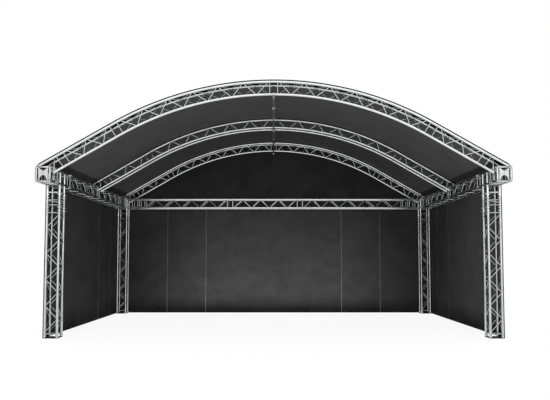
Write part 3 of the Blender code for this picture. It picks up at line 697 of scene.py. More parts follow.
def corner_block(node, x, y, arms):
    """A welded corner block with the given level arms and an arm down."""
    centre = Vector((x, y, BEAM_AXIS_HEIGHT))
    reach = BEAM_AXIS_HEIGHT - box(node)[0].z
    solid = bmesh.new()
    back, forth = [
        reach if Y_AXIS * way in arms else HALF_SPACING + CHORD_RADIUS for way in (-1, 1)]
    for corner in corner_places(X_AXIS, Z_AXIS):
        profile = chord_profile(back + forth, CHORD_RADIUS)
        add_turned(solid, centre + corner - Y_AXIS * back, Y_AXIS, profile, CHORD_SIDES)
    for arm in [*arms, -Z_AXIS]:
        sideways, downward = abs(arm.x) > 0.5, abs(arm.z) > 0.5
        corners = corner_places(Y_AXIS if sideways else X_AXIS, Y_AXIS if downward else Z_AXIS)
        for number, pair in enumerate(FACE_PAIRS):
            if sideways and number == 2:
                continue
            ends = [centre + arm * (reach - RUNG_INSET) + corners[chord] for chord in pair]
            radius = CAGE_RADIUS if number in (0, 2) else BRACE_RADIUS
            add_brace(solid, ends, (arm, arm), CHORD_RADIUS, radius)
        if sideways or downward:
            before = HALF_SPACING + ARM_OVERRUN if downward else -HALF_SPACING
            profile = chord_profile(reach + before, ARM_CHORD_RADIUS)
            for corner in corners:
                add_turned(solid, centre + corner - arm * before, arm, profile, CHORD_SIDES)
    for *ends, radius in cage_bars(math.copysign(1, x)):
        ends = [centre + Vector(end) * HALF_SPACING for end in ends]
        add_brace(solid, ends, (Y_AXIS, Y_AXIS), CHORD_RADIUS, radius)
    finish_piece(node + "_tubes", solid, [TUBE_PAINTED_LIGHT, WELD], [node])


for side_name, sign in SIDES.items():
    corner_block("front_tee_block_" + side_name, sign * LEG_X, FRONT_LEG_Y, [Y_AXIS, -Y_AXIS])
    corner_block("rear_corner_block_" + side_name, sign * LEG_X, REAR_LEG_Y, [-Y_AXIS, -sign * X_AXIS])
print("corner blocks reach, metres:", round(BEAM_AXIS_HEIGHT - box("front_tee_block_left")[0].z, 3))

# %% [markdown]
# ## Beam ends and their plates
#
# Forward of the front blocks each side beam has a short open end, where the bores of its chords
# show. It is closed by two square posts, a top bar and a bottom bar, each with a round bar behind
# it, and a light plate between them. The plate has a V notch at the top and a half-round opening
# at the bottom. It is drawn as a flat outline, with the half round as an arc, then filled and
# extruded to its thickness.

# %% Beam ends
CHORD_MOUTH = [(0.070, 0), (0.068, 0.017), (0, 0.0205)]
END_POST_WIDTH = 0.030
END_POST_DEPTH = 0.014
END_POST_LENGTH = 0.281
END_POST_SETBACK = 0.0225
END_BAR_HEIGHT = 0.023
END_BAR_DEPTH = 0.012
END_BAR_OFFSET = 0.008
END_BAR_LIFT = 0.0035
END_ROUNDING = 0.003
REAR_BAR_RADIUS = 0.011
REAR_BAR_PLACE = (0.090, 0.014)
V_NOTCH_WIDTH = 0.156
V_NOTCH_DEPTH = 0.066
HALF_ROUND_RADIUS = 0.066
HALF_ROUND_DEPTH = 0.089
HALF_ROUND_STEPS = 24
PLATE_HOLE_RADIUS = 0.007
PLATE_HOLE_SIDES = 16


def round_edges(part, edges, offset, segments=2):
    """Bevel edges to a round profile."""
    bmesh.ops.bevel(
        part, geom=edges, offset=offset, segments=segments, profile=0.5, affect="EDGES", material=-1)


def add_bevelled_box(solid, low, high, rounding, material=0):
    """A box between two corners with its edges rounded."""
    part = bmesh.new()
    bmesh.ops.create_cube(part, size=1, matrix=Matrix.Diagonal((*(high - low), 1)))
    round_edges(part, part.edges[:], rounding)
    unroll(part, round_z)
    add_part(solid, part, Matrix.Translation((low + high) / 2), material)


def beam_end(side_name):
    """The short end of a side beam, closed by two posts and two bars with round bars behind."""
    node = "beam_end_" + side_name
    low, high, middle = box(node)
    mouth = Vector((middle.x, low.y, middle.z))
    corners = corner_places(X_AXIS, Z_AXIS)
    solid = bmesh.new()
    for corner in corners:
        profile = chord_profile(high.y - low.y, CHORD_RADIUS, CHORD_MOUTH)
        add_turned(solid, mouth + corner, Y_AXIS, profile, CHORD_SIDES)
    aside = HALF_SPACING + END_BAR_OFFSET
    half_post = Vector((END_POST_WIDTH, END_POST_DEPTH, END_POST_LENGTH)) / 2
    for way in (-1, 1):
        place = mouth + Vector((way * aside, END_POST_SETBACK, 0))
        add_bevelled_box(solid, place - half_post, place + half_post, END_ROUNDING, THIRD)
    half_bar = Vector((2 * aside, END_BAR_DEPTH, END_BAR_HEIGHT)) / 2
    behind, outward = REAR_BAR_PLACE
    for way, material in ((-1, SECOND), (1, THIRD)):
        place = mouth + Vector((0, END_POST_SETBACK, way * (aside + END_BAR_LIFT)))
        add_bevelled_box(solid, place - half_bar, place + half_bar, END_ROUNDING, material)
        start = mouth + Vector((-HALF_SPACING, behind, way * (HALF_SPACING + outward)))
        add_turned(solid, start, X_AXIS, rod_profile(CHORD_SPACING, REAR_BAR_RADIUS), BRACE_SIDES)
    for pair in FACE_PAIRS:
        ends = [Vector((middle.x, high.y - RUNG_INSET, middle.z)) + corners[chord] for chord in pair]
        add_brace(solid, ends, (Y_AXIS, Y_AXIS), CHORD_RADIUS)
    finish_piece(node + "_tubes", solid, [TUBE_PAINTED_LIGHT, WELD, TUBE], [node])


def oval(x, z, width, height, angles):
    """Places on an oval about (x, z), given by its half width, its half height and the angles."""
    return [(x + width * math.cos(angle), z + height * math.sin(angle)) for angle in angles]


def end_plate(side_name):
    """The plate in the mouth of a beam end: an outline with a hole, filled and extruded."""
    node = "end_plate_" + side_name
    low, high, middle = box(node)
    over = [math.pi * (1 - step / HALF_ROUND_STEPS) for step in range(HALF_ROUND_STEPS + 1)]
    outline = [
        (low.x, low.z), *oval(middle.x, low.z, HALF_ROUND_RADIUS, HALF_ROUND_DEPTH, over),
        (high.x, low.z), (high.x, high.z), (middle.x + V_NOTCH_WIDTH / 2, high.z),
        (middle.x, high.z - V_NOTCH_DEPTH), (middle.x - V_NOTCH_WIDTH / 2, high.z), (low.x, high.z)]
    hole_height = (low.z + HALF_ROUND_DEPTH + high.z - V_NOTCH_DEPTH) / 2
    around = [math.tau * step / PLATE_HOLE_SIDES for step in range(PLATE_HOLE_SIDES)]
    hole = oval(middle.x, hole_height, PLATE_HOLE_RADIUS, PLATE_HOLE_RADIUS, around)
    sheet = bmesh.new()
    edges = []
    for ring in (outline, hole):
        verts = [sheet.verts.new((x, low.y, z)) for x, z in ring]
        edges += [sheet.edges.new(pair) for pair in zip(verts, verts[1:] + verts[:1])]
    bmesh.ops.triangle_fill(
        sheet, edges=edges, use_beauty=True, use_dissolve=False, normal=(0, -1, 0))
    made = bmesh.ops.extrude_face_region(sheet, geom=sheet.faces[:])
    moved = [item for item in made["geom"] if isinstance(item, bmesh.types.BMVert)]
    bmesh.ops.translate(sheet, verts=moved, vec=(0, high.y - low.y, 0))
    finish_piece(node + "_sheet", sheet, [CASTING], [node], crisp=30)


for side_name in SIDES:
    beam_end(side_name)
    end_plate(side_name)

# %% [markdown]
# ## Arches
#
# Each arch is a triangular truss in six pieces: two curves that meet at the crown, two straights
# and two ends. Its chords are swept by spinning a circle about the vault's centre line, which lies
# below the floor. The front and rear arches hang point down, with two chords on top, and the
# middle one stands point up.

# %% Arch geometry
ARCH_TOP_RADIUS = 6.03
ARCH_HALF_ANGLE = math.radians(30)
ARCH_DEPTH = CHORD_SPACING * math.sqrt(3) / 2
ARCH_BOTTOM_RADIUS = ARCH_TOP_RADIUS - ARCH_DEPTH
ARCH_MIDDLE_RADIUS = ARCH_TOP_RADIUS - ARCH_DEPTH / 2
HEXAGON_PEAK = ARCH_CHORD_RADIUS / math.cos(math.pi / 6)
ARCH_CENTRE_HEIGHT = box("front_arch_curve_left")[1].z - HEXAGON_PEAK - ARCH_TOP_RADIUS
ARCH_STRAIGHT_LENGTH = 1.14
JOINT_GAP = 0.0003
CURVE_STEPS = 30
ARCHES = {
    "front": (box("front_arch_curve_left")[2].y, True),
    "middle": (box("middle_arch_curve_left")[2].y, False),
    "rear": (box("rear_arch_curve_left")[2].y, True)}


def arch_place(radius, y, sign, angle, beyond=0.0):
    """A place on the arch profile: at an angle from the crown, then a run down the slope."""
    x = radius * math.sin(angle) + beyond * math.cos(angle)
    z = ARCH_CENTRE_HEIGHT + radius * math.cos(angle) - beyond * math.sin(angle)
    return Vector((sign * x, y, z))


def down_way(sign, angle=ARCH_HALF_ANGLE):
    """The direction down the arch, at an angle from the crown or on the slope."""
    return Vector((sign * math.cos(angle), 0, -math.sin(angle)))


def arch_chords(place):
    """Radius and Y of the three chords of an arch, the pair first."""
    y, points_down = ARCHES[place]
    pair_radius, single_radius = ARCH_TOP_RADIUS, ARCH_BOTTOM_RADIUS
    if not points_down:
        pair_radius, single_radius = single_radius, pair_radius
    return [(pair_radius, y - HALF_SPACING), (pair_radius, y + HALF_SPACING), (single_radius, y)]


def slope_run_to(radius, x):
    """How far below the curve a chord of this radius reaches x."""
    return (x - radius * math.sin(ARCH_HALF_ANGLE)) / math.cos(ARCH_HALF_ANGLE)


print("crown of the chords, metres:", round(ARCH_CENTRE_HEIGHT + ARCH_TOP_RADIUS, 3))

# %% [markdown]
# A curved chord is a circle spun about the centre line. Its ring welds are thin turned rings laid
# over it, because a spin can't change the circle's size on the way.

# %% Arch curves and straights
CURVE_LATTICE = {"inset": 0.0925, "span": 0.239, "count": 12}
STRAIGHT_LATTICE = {"inset": 0.14, "span": 0.215, "count": 4}
# The arches take paler copies of the metal: painted light.
ARCH_METAL = {"front": ARCH_TUBE_PAINTED_LIGHT, "middle": ARCH_TUBE_PAINTED_LIGHT, "rear": TUBE_PAINTED_LIGHT}
FIRST_CHORDS = {
    "front": {(0, 2): 0, (1, 2): 2, (0, 1): 0},
    "middle": {(0, 2): 2, (1, 2): 2, (0, 1): 0},
    "rear": {(0, 2): 2, (1, 2): 1, (0, 1): 1}}
WELD_ROOT = 0.001


def add_ring_weld(solid, place, direction, radius):
    """A weld ring round a chord."""
    root = radius - WELD_ROOT
    profile = [
        (-RING_WELD, 0), (-RING_WELD, root), (-RING_WELD, radius), (0, radius + RING_WELD),
        (RING_WELD, radius), (RING_WELD, root), (RING_WELD, 0)]
    add_turned(solid, place, direction, profile, CHORD_SIDES, SECOND)


def swept_circle(sides, radius, place, axis, angle, steps):
    """A circle spun about an axis through the origin, closed at both ends."""
    part = bmesh.new()
    bmesh.ops.create_circle(part, segments=sides, radius=radius, matrix=place)
    rim = part.edges[:]
    swept = bmesh.ops.spin(part, geom=rim, cent=(0, 0, 0), axis=axis, angle=angle, steps=steps)
    last = [item for item in swept["geom_last"] if isinstance(item, bmesh.types.BMEdge)]
    bmesh.ops.holes_fill(part, edges=rim + last, sides=sides)
    return part


def add_curved_chord(solid, radius, y, sign, start_angle, end_angle):
    """A round chord that follows the arch."""
    start = arch_place(radius, 0, 1, start_angle) - Z_AXIS * ARCH_CENTRE_HEIGHT
    part = swept_circle(
        CHORD_SIDES, ARCH_CHORD_RADIUS, Matrix.Translation(start) @ facing(down_way(1, start_angle)),
        Y_AXIS, end_angle - start_angle, CURVE_STEPS)

    def locate(place):
        outward = math.hypot(place.x, place.z) - radius
        return radius * math.atan2(place.x, place.z), math.atan2(outward, place.y), ARCH_CHORD_RADIUS

    unroll(part, locate)
    if sign < 0:
        bmesh.ops.scale(part, vec=(-1, 1, 1), verts=part.verts)
    add_part(solid, part, Matrix.Translation((0, y, ARCH_CENTRE_HEIGHT)))
    for angle in (start_angle + RECEIVER_LENGTH / radius, end_angle - RECEIVER_LENGTH / radius):
        place = arch_place(radius, y, sign, angle)
        add_ring_weld(solid, place, down_way(sign, angle), ARCH_CHORD_RADIUS)


def finish_arch(node, place, solid, point, way, length, lattice):
    """Add the braces of an arch piece on its three faces, and finish it."""
    for pair, first_chord in FIRST_CHORDS[place].items():
        stations = rungs(length) + zigzag(**lattice, swapped=first_chord != pair[0])
        add_lattice(solid, point, way, pair, stations, ARCH_CHORD_RADIUS)
    finish_piece(node + "_tubes", solid, [ARCH_METAL[place], WELD], [node])


def arch_curve(place, side_name, sign):
    """The curved half of an arch."""
    start_angle = JOINT_GAP / 2 / ARCH_MIDDLE_RADIUS
    end_angle = ARCH_HALF_ANGLE - start_angle
    length = ARCH_MIDDLE_RADIUS * (end_angle - start_angle)
    layout = arch_chords(place)

    def angle_at(station):
        return start_angle + station / ARCH_MIDDLE_RADIUS

    def point(chord, station):
        return arch_place(*layout[chord], sign, angle_at(station))

    def way(station):
        return down_way(sign, angle_at(station))

    solid = bmesh.new()
    for chord in layout:
        add_curved_chord(solid, *chord, sign, start_angle, end_angle)
    node = "{}_arch_curve_{}".format(place, side_name)
    finish_arch(node, place, solid, point, way, length, CURVE_LATTICE)


def arch_straight(place, side_name, sign):
    """The straight piece below the curve."""
    layout = arch_chords(place)
    length = ARCH_STRAIGHT_LENGTH - JOINT_GAP
    down = down_way(sign)

    def point(chord, station):
        return arch_place(*layout[chord], sign, ARCH_HALF_ANGLE, JOINT_GAP / 2 + station)

    solid = bmesh.new()
    for chord in range(3):
        add_turned(solid, point(chord, 0), down, chord_profile(length, ARCH_CHORD_RADIUS), CHORD_SIDES)
    node = "{}_arch_straight_{}".format(place, side_name)
    finish_arch(node, place, solid, point, lambda station: down, length, STRAIGHT_LATTICE)


for place in ARCHES:
    for side_name, sign in SIDES.items():
        arch_curve(place, side_name, sign)
        arch_straight(place, side_name, sign)

# %% [markdown]
# The lowest piece of an arch has to sit on the side beam. Its top chords are cut level and rest on
# the beam's outer chord. Its bottom chord stops short of the beam. An upright post ties them
# together and carries a saddle, half round like the chord it grips, on the beam's inner chord. An
# arch that hangs point down has one such post in its middle plane, and the middle arch has two.

# %% Arch ends
BEAM_TOP = box("side_beam_front_left")[1].z
INNER_CHORD_X = LEG_X - HALF_SPACING
TOP_CHORD_Z = BEAM_TOP - CHORD_RADIUS
BOTTOM_END_GAP = 0.0085
POST_SETBACK = 0.0475
POST_RADIUS = 0.009
SADDLE_WIDTH = 0.036
SADDLE_WALL = 0.007
SADDLE_CLEARANCE = 0.0004
SADDLE_TILT = math.radians(15)
SADDLE_STEPS = 16
LUG_MARGINS = (0.006, 0.003)
LUG_HEIGHTS = (-0.004, 0.006)
SMALL_ROUNDING = 0.002


def add_saddle(solid, y, sign):
    """A half-round saddle over the beam's inner top chord with a lug on its inner side."""
    part = bmesh.new()
    half = SADDLE_WIDTH / 2
    inner, outer = CHORD_RADIUS + SADDLE_CLEARANCE, CHORD_RADIUS + SADDLE_WALL
    row = [part.verts.new((radius, along, 0)) for radius, along in (
        (inner, -half), (outer, -half), (outer, half), (inner, half))]
    bmesh.ops.spin(
        part, geom=[part.faces.new(row)], cent=(0, 0, 0), axis=Y_AXIS, angle=-math.pi,
        steps=SADDLE_STEPS, use_merge=False)
    bmesh.ops.remove_doubles(part, verts=part.verts, dist=MERGE)
    if sign > 0:
        tilt = Matrix.Rotation(SADDLE_TILT, 3, "Y")
        bmesh.ops.rotate(part, verts=part.verts, cent=(0, 0, 0), matrix=tilt)
    unroll(part, round_z)
    add_part(solid, part, Matrix.Translation((sign * INNER_CHORD_X, y, TOP_CHORD_Z)), THIRD)
    lug_x = sign * (INNER_CHORD_X - POST_SETBACK)
    near = sign * (INNER_CHORD_X - CHORD_RADIUS)
    low = Vector((min(lug_x, near) - LUG_MARGINS[0], y - half, TOP_CHORD_Z + LUG_HEIGHTS[0]))
    high = Vector((max(lug_x, near) + LUG_MARGINS[1], y + half, TOP_CHORD_Z + LUG_HEIGHTS[1]))
    add_bevelled_box(solid, low, high, SMALL_ROUNDING, THIRD)


def add_level_cut_chord(solid, start, end, level):
    """A sloping chord whose lower end is cut level."""
    part = bmesh.new()
    run = end - start
    bmesh.ops.create_cone(
        part, cap_ends=True, segments=CHORD_SIDES, radius1=ARCH_CHORD_RADIUS,
        radius2=ARCH_CHORD_RADIUS, depth=run.length,
        matrix=Matrix.Translation((0, 0, run.length / 2)))
    unroll(part, round_z)
    part.transform(Matrix.Translation(start) @ facing(run))
    bmesh.ops.bisect_plane(
        part, geom=part.verts[:] + part.edges[:] + part.faces[:], dist=MERGE, plane_co=(0, 0, level),
        plane_no=(0, 0, -1), clear_outer=True)
    rim = [edge for edge in part.edges if edge.is_boundary]
    bmesh.ops.holes_fill(part, edges=rim, sides=4 * CHORD_SIDES)
    add_part(solid, part, Matrix())


def arch_end(place, side_name, sign):
    """The end of an arch on its side beam."""
    layout = arch_chords(place)
    start = ARCH_STRAIGHT_LENGTH + JOINT_GAP / 2
    down = down_way(sign)

    def point(chord, beyond):
        return arch_place(*layout[chord], sign, ARCH_HALF_ANGLE, beyond)

    solid = bmesh.new()
    for chord, (radius, _) in enumerate(layout):
        if radius == ARCH_TOP_RADIUS:
            beyond = slope_run_to(radius, LEG_X + HALF_SPACING + 2 * CHORD_RADIUS)
            add_level_cut_chord(solid, point(chord, start), point(chord, beyond), BEAM_TOP + JOINT_GAP)
        else:
            beyond = slope_run_to(radius, INNER_CHORD_X - CHORD_RADIUS - BOTTOM_END_GAP)
            profile = rod_profile(beyond - start, ARCH_CHORD_RADIUS, CHAMFER)
            add_turned(solid, point(chord, start), down, profile, CHORD_SIDES)
        add_ring_weld(solid, point(chord, start + RECEIVER_LENGTH), down, ARCH_CHORD_RADIUS)
    for pair in ((0, 2), (1, 2), (0, 1)):
        ends = [point(chord, start + RUNG_INSET) for chord in pair]
        add_brace(solid, ends, (down, down), ARCH_CHORD_RADIUS)
    post_x = INNER_CHORD_X - POST_SETBACK
    first, second, single = (
        point(chord, slope_run_to(radius, post_x)) for chord, (radius, _) in enumerate(layout))
    if ARCHES[place][1]:
        add_brace(solid, (first, second), (down, down), ARCH_CHORD_RADIUS, POST_RADIUS)
        posts = [(single, (first + second) / 2)]
    else:
        posts = [(first, single), (second, single)]
    for foot, top in posts:
        rise = top - foot
        profile = rod_profile(rise.length, POST_RADIUS)
        add_turned(solid, foot, rise.normalized(), profile, BRACE_SIDES)
        add_saddle(solid, foot.y + rise.y * (TOP_CHORD_Z - foot.z) / rise.z, sign)
    node = "{}_arch_end_{}".format(place, side_name)
    finish_piece(node + "_tubes", solid, [ARCH_TUBE_PAINTED_LIGHT, WELD, CASTING], [node])


for place in ARCHES:
    for side_name, sign in SIDES.items():
        arch_end(place, side_name, sign)
arch_names = [name for name in bpy.data.objects.keys() if "_arch_" in name and "_tubes" in name]
print("arch pieces:", len(arch_names))

# %% [markdown]
# ## Couplers and pins
#
# Each chord joint holds a conical coupler: a solid double cone that fills both receivers, with a
# tapered pin through each. From outside, the coupler shows only as a thin line between the
# receivers, but the pins' heads and their spring clips stand out all round the joint. Where a
# cloth lies against the truss, the pins are turned round and their heads are flush, so that
# nothing pokes through it. One function makes a joint. The joint planes are the end faces of the
# square trusses and the planes between the pieces of an arch.

# %% Couplers and pins
PIN_FROM_JOINT = 0.030
PIN_RADIUS = 0.0080
PIN_EDGE = 0.001
PIN_TIP = (0.002, 0.003)
PIN_OVERHANG = 0.012
CLIP_RADIUS = 0.010
CLIP_WIRE = 0.0014
CLIP_SIDES = 6
CLIP_STEPS = 14
CLIP_TURN = math.radians(300)
CLIP_FROM_TIP = 0.004
COUPLER_LENGTH = 0.09
COUPLER_TAPER = 0.7
COUPLER_CLEARANCE = 0.0005
BOTH_WAYS = (-1, 1)
WALL_REACH = box("leg_truss_rear_right")[1]


def add_clip(solid, place, axis):
    """An open ring of spring wire round the thin end of a pin."""
    ring = Matrix.Translation((CLIP_RADIUS, 0, 0)) @ Matrix.Rotation(math.pi / 2, 4, "X")
    part = swept_circle(CLIP_SIDES, CLIP_WIRE, ring, Z_AXIS, CLIP_TURN, CLIP_STEPS)
    add_part(solid, part, Matrix.Translation(place) @ facing(axis))


def pin_profile(reach, radius, under_cloth):
    """A tapered pin: head and thin tip stand out, but under a cloth its head is flush."""
    tip = [(reach - PIN_TIP[0], PIN_RADIUS - PIN_EDGE), (reach, PIN_RADIUS - PIN_TIP[1]), (reach, 0)]
    if under_cloth:
        thin = [(-along, width) for along, width in reversed(tip)]
        return thin + [(radius - PIN_EDGE, PIN_RADIUS), (radius, PIN_RADIUS - PIN_EDGE), (radius, 0)]
    return [(-reach, 0), (-reach, PIN_RADIUS), (-reach + PIN_EDGE, PIN_RADIUS + PIN_EDGE)] + tip


def add_joint(couplers, pins, place, axis, pin_axis, radius, ways=BOTH_WAYS):
    """One chord joint: the coupler, and a pin with its clip in each receiver."""
    half = COUPLER_LENGTH / 2
    core = radius - CHAMFER - COUPLER_CLEARANCE
    cone = [(-half, 0), (-half, core * COUPLER_TAPER)] if -1 in ways else [(0, 0)]
    cone += [(0, core), (half, core * COUPLER_TAPER), (half, 0)]
    add_turned(couplers, place, axis, cone, CHORD_SIDES)
    reach = radius + PIN_OVERHANG
    outside = place + pin_axis * reach
    under_cloth = abs(outside.x) > WALL_REACH.x or outside.y > WALL_REACH.y
    profile = pin_profile(reach, radius, under_cloth)
    clip_at = (CLIP_FROM_TIP - reach) if under_cloth else (reach - CLIP_FROM_TIP)
    for way in ways:
        middle = place + axis * way * PIN_FROM_JOINT
        add_turned(pins, middle, pin_axis, profile, BRACE_SIDES)
        add_clip(pins, middle + pin_axis * clip_at, axis)


def finish_joints(name, couplers, pins):
    """Make the couplers and pins of a group of joints into two pieces."""
    finish_piece(name + "_couplers", couplers, [CASTING])
    finish_piece(name + "_pins", pins, [ZINC])


def square_joints(name, directions, faces):
    """The joints at some end faces of square trusses, each given as (node, end, ways)."""
    axis, side, up = directions
    couplers, pins = bmesh.new(), bmesh.new()
    for node, end, ways in faces:
        middle = box(node)[2]
        centre = middle + axis * (box(node)[end] - middle).dot(axis)
        for corner in corner_places(side, up):
            pin_axis = side if corner.dot(side) > 0 else -side
            add_joint(couplers, pins, centre + corner, axis, pin_axis, CHORD_RADIUS, ways)
    finish_joints(name, couplers, pins)


LOW_END, HIGH_END = 0, 1  # which corner of a node's box its end face passes through
for place in CORNERS:
    square_joints("leg_" + place, ALONG_Z, [
        ("leg_truss_" + place, LOW_END, (1,)), ("leg_truss_" + place, HIGH_END, BOTH_WAYS),
        ("leg_spacer_" + place, HIGH_END, BOTH_WAYS)])
for side_name in SIDES:
    square_joints("side_beam_" + side_name, ALONG_Y, [
        (node + side_name, end, BOTH_WAYS) for node, end in (
            ("side_beam_front_", LOW_END), ("side_beam_rear_", LOW_END),
            ("side_beam_rear_", HIGH_END), ("beam_end_", HIGH_END))])
rear_nodes = [
    "rear_spacer_left", "rear_beam_left", "rear_beam_middle", "rear_beam_right", "rear_spacer_right"]
rear_faces = [(node, LOW_END, BOTH_WAYS) for node in rear_nodes]
square_joints("rear_beam", ALONG_X, [*rear_faces, (rear_nodes[-1], HIGH_END, BOTH_WAYS)])

for place, (y, _) in ARCHES.items():
    couplers, pins = bmesh.new(), bmesh.new()
    for radius, chord_y in arch_chords(place):
        outward = Y_AXIS if chord_y > y else -Y_AXIS
        planes = [(arch_place(radius, chord_y, 1, 0), X_AXIS)]
        planes += [
            (arch_place(radius, chord_y, sign, ARCH_HALF_ANGLE, beyond), down_way(sign))
            for sign in SIDES.values() for beyond in (0, ARCH_STRAIGHT_LENGTH)]
        for joint, axis in planes:
            add_joint(couplers, pins, joint, axis, outward, ARCH_CHORD_RADIUS)
    finish_joints(place + "_arch", couplers, pins)

# %% [markdown]
# ## Base plates
#
# A base plate is a steel plate the size of the truss, coated black, and the leg's lowest couplers
# stand on it. The plate starts as a cube, its upright corners are rounded, and then its top and
# bottom rims get a hair of bevel.

# %% Base plates
PLATE_CORNER = 0.012
PLATE_EDGE = 0.0012
PLATE_CORNER_STEPS = 5
UPRIGHT = 0.005


def base_plate(place):
    """A flat plate with rounded corners."""
    node = "base_plate_" + place
    low, high, middle = box(node)
    solid = bmesh.new()
    bmesh.ops.create_cube(solid, size=1, matrix=Matrix.Diagonal((*(high - low), 1)))

    def rise(edge):
        return abs(edge.verts[0].co.z - edge.verts[1].co.z)

    upright = [edge for edge in solid.edges if rise(edge) > UPRIGHT]
    round_edges(solid, upright, PLATE_CORNER, PLATE_CORNER_STEPS)
    round_edges(solid, [edge for edge in solid.edges if rise(edge) < MERGE], PLATE_EDGE)
    bmesh.ops.translate(solid, verts=solid.verts, vec=middle)
    finish_piece(node + "_plate", solid, [PLATE], [node])


for place in CORNERS:
    base_plate(place)

# %% [markdown]
# ## Ridge tube and clamps
#
# Under the crown of the arches runs a single tube from front to back, in two lengths, that keeps
# the arches upright. A swivel coupler holds it under each arch: two short split bands, one round
# the arch's bottom chord and one round the tube, joined by a stud, each closed with a bolt through
# its ears. The brightest dots along the tube are bands too, so they share the same function.

# %% Ridge tube and clamps
BAND_WALL = 0.005
BAND_EDGE = 0.001
EAR_HEIGHT = 0.014
EAR_THICKNESS = 0.013
EAR_DEPTH_IN_BAND = 0.002
EAR_WIDTH_SHARE = 0.35
BOLT = [
    (-0.017, 0), (-0.017, 0.0075), (-0.011, 0.0075), (-0.011, 0.004), (0.011, 0.004),
    (0.011, 0.0075), (0.018, 0.0075), (0.018, 0)]
BOLT_SIDES = 6
RIDGE_RADIUS = 0.018
RIDGE_COLLARS = {"front": (0.24, 1.14), "rear": (3.20,)}
RIDGE_BANDS = {"front": (0.005, THIRD), "middle": (0.011, 0), "rear": (0.009, 0)}
COLLAR_WALL = 0.010
COLLAR_WIDTH = 0.040
STUD_RADIUS = 0.007


def add_band(solid, place, axis, radius, width, ear_way, wall=BAND_WALL, material=0):
    """A split band round a tube, closed by a bolt through its ears."""
    outer, inner, half = radius + wall, radius + JOINT_GAP, width / 2
    profile = [
        (-half, inner), (-half, outer - BAND_EDGE), (-half + BAND_EDGE, outer),
        (half - BAND_EDGE, outer), (half, outer - BAND_EDGE), (half, inner), (-half, inner)]
    add_turned(solid, place, axis, profile, CHORD_SIDES, material)
    ear_place = place + ear_way * (outer + EAR_HEIGHT / 2 - EAR_DEPTH_IN_BAND)
    across = ear_way.cross(axis)
    reach = ear_way * EAR_HEIGHT / 2 + axis * width * EAR_WIDTH_SHARE + across * EAR_THICKNESS / 2
    reach = Vector([abs(value) for value in reach])
    add_bevelled_box(solid, ear_place - reach, ear_place + reach, SMALL_ROUNDING, material)
    add_turned(solid, ear_place, across, BOLT, BOLT_SIDES, SECOND)


def ridge_clamp(place):
    """A coupler: a band round the arch's chord, a stud, and a band round the tube."""
    node = "ridge_clamp_" + place
    middle = box(node)[2]
    tube_place = Vector((0, middle.y, box("ridge_tube_front")[2].z))
    chord_place = Vector((0, middle.y, ARCH_CENTRE_HEIGHT + ARCH_BOTTOM_RADIUS))
    solid = bmesh.new()
    add_band(solid, chord_place, X_AXIS, ARCH_CHORD_RADIUS, COLLAR_WIDTH, Y_AXIS)
    wall, material = RIDGE_BANDS[place]
    add_band(solid, tube_place, Y_AXIS, RIDGE_RADIUS, COLLAR_WIDTH, -Z_AXIS, wall, material)
    low = RIDGE_RADIUS + BAND_WALL / 2
    high = (chord_place - tube_place).length - ARCH_CHORD_RADIUS - BAND_WALL / 2
    stud = rod_profile(high - low, STUD_RADIUS)
    add_turned(solid, tube_place + Z_AXIS * low, Z_AXIS, stud, BRACE_SIDES, SECOND)
    finish_piece(node + "_coupler", solid, [COUPLER, ZINC, DULL_PIPE], [node])


def ridge_tube(place):
    """A length of the ridge tube with its collars."""
    node = "ridge_tube_" + place
    low, high, middle = box(node)
    solid = bmesh.new()
    profile = rod_profile(high.y - low.y, RIDGE_RADIUS, BAND_EDGE)
    add_turned(solid, Vector((0, low.y, middle.z)), Y_AXIS, profile, CHORD_SIDES)
    for distance in RIDGE_COLLARS[place]:
        collar = Vector((0, FRONT_LEG_Y + distance, middle.z))
        add_band(solid, collar, Y_AXIS, RIDGE_RADIUS, COLLAR_WIDTH, Z_AXIS, COLLAR_WALL, THIRD)
    finish_piece(node + "_pipe", solid, [DULL_PIPE, ZINC, COUPLER], [node])


for place in ARCHES:
    ridge_clamp(place)
for place in RIDGE_COLLARS:
    ridge_tube(place)

# %% [markdown]
# Two more bands sit round the inner top chord of each side beam, one on either side of the front
# leg. Lights and cables are hung from them.

# %% Side clamps
SIDE_BAND_OFFSET = -0.46
SIDE_BAND_WALL = 0.013


def side_clamp(side_name, sign):
    """The bands round the inner top chord of a side beam."""
    node = "side_clamp_" + side_name
    low, high, middle = box(node)
    solid = bmesh.new()
    for y in (middle.y, FRONT_LEG_Y + SIDE_BAND_OFFSET):
        place = Vector((sign * INNER_CHORD_X, y, TOP_CHORD_Z))
        add_band(
            solid, place, Y_AXIS, CHORD_RADIUS, high.y - low.y, -sign * X_AXIS, SIDE_BAND_WALL)
    finish_piece(node + "_bands", solid, [COUPLER, ZINC], [node])


for side_name, sign in SIDES.items():
    side_clamp(side_name, sign)

# %% [markdown]
# ## The vault cloth
#
# The canopy is one sheet. It lies on the outer chords of the arches, and its sides come straight
# down the outer faces of the side beams as valances. A grid of quads is rolled over the vault: its
# length follows the profile, its width runs from front to back. Between two arches the cloth is
# stretched, so it draws in towards the stage by a few millimetres, and its surface keeps faint
# creases. Solidify then gives it the thickness of a coated cloth.

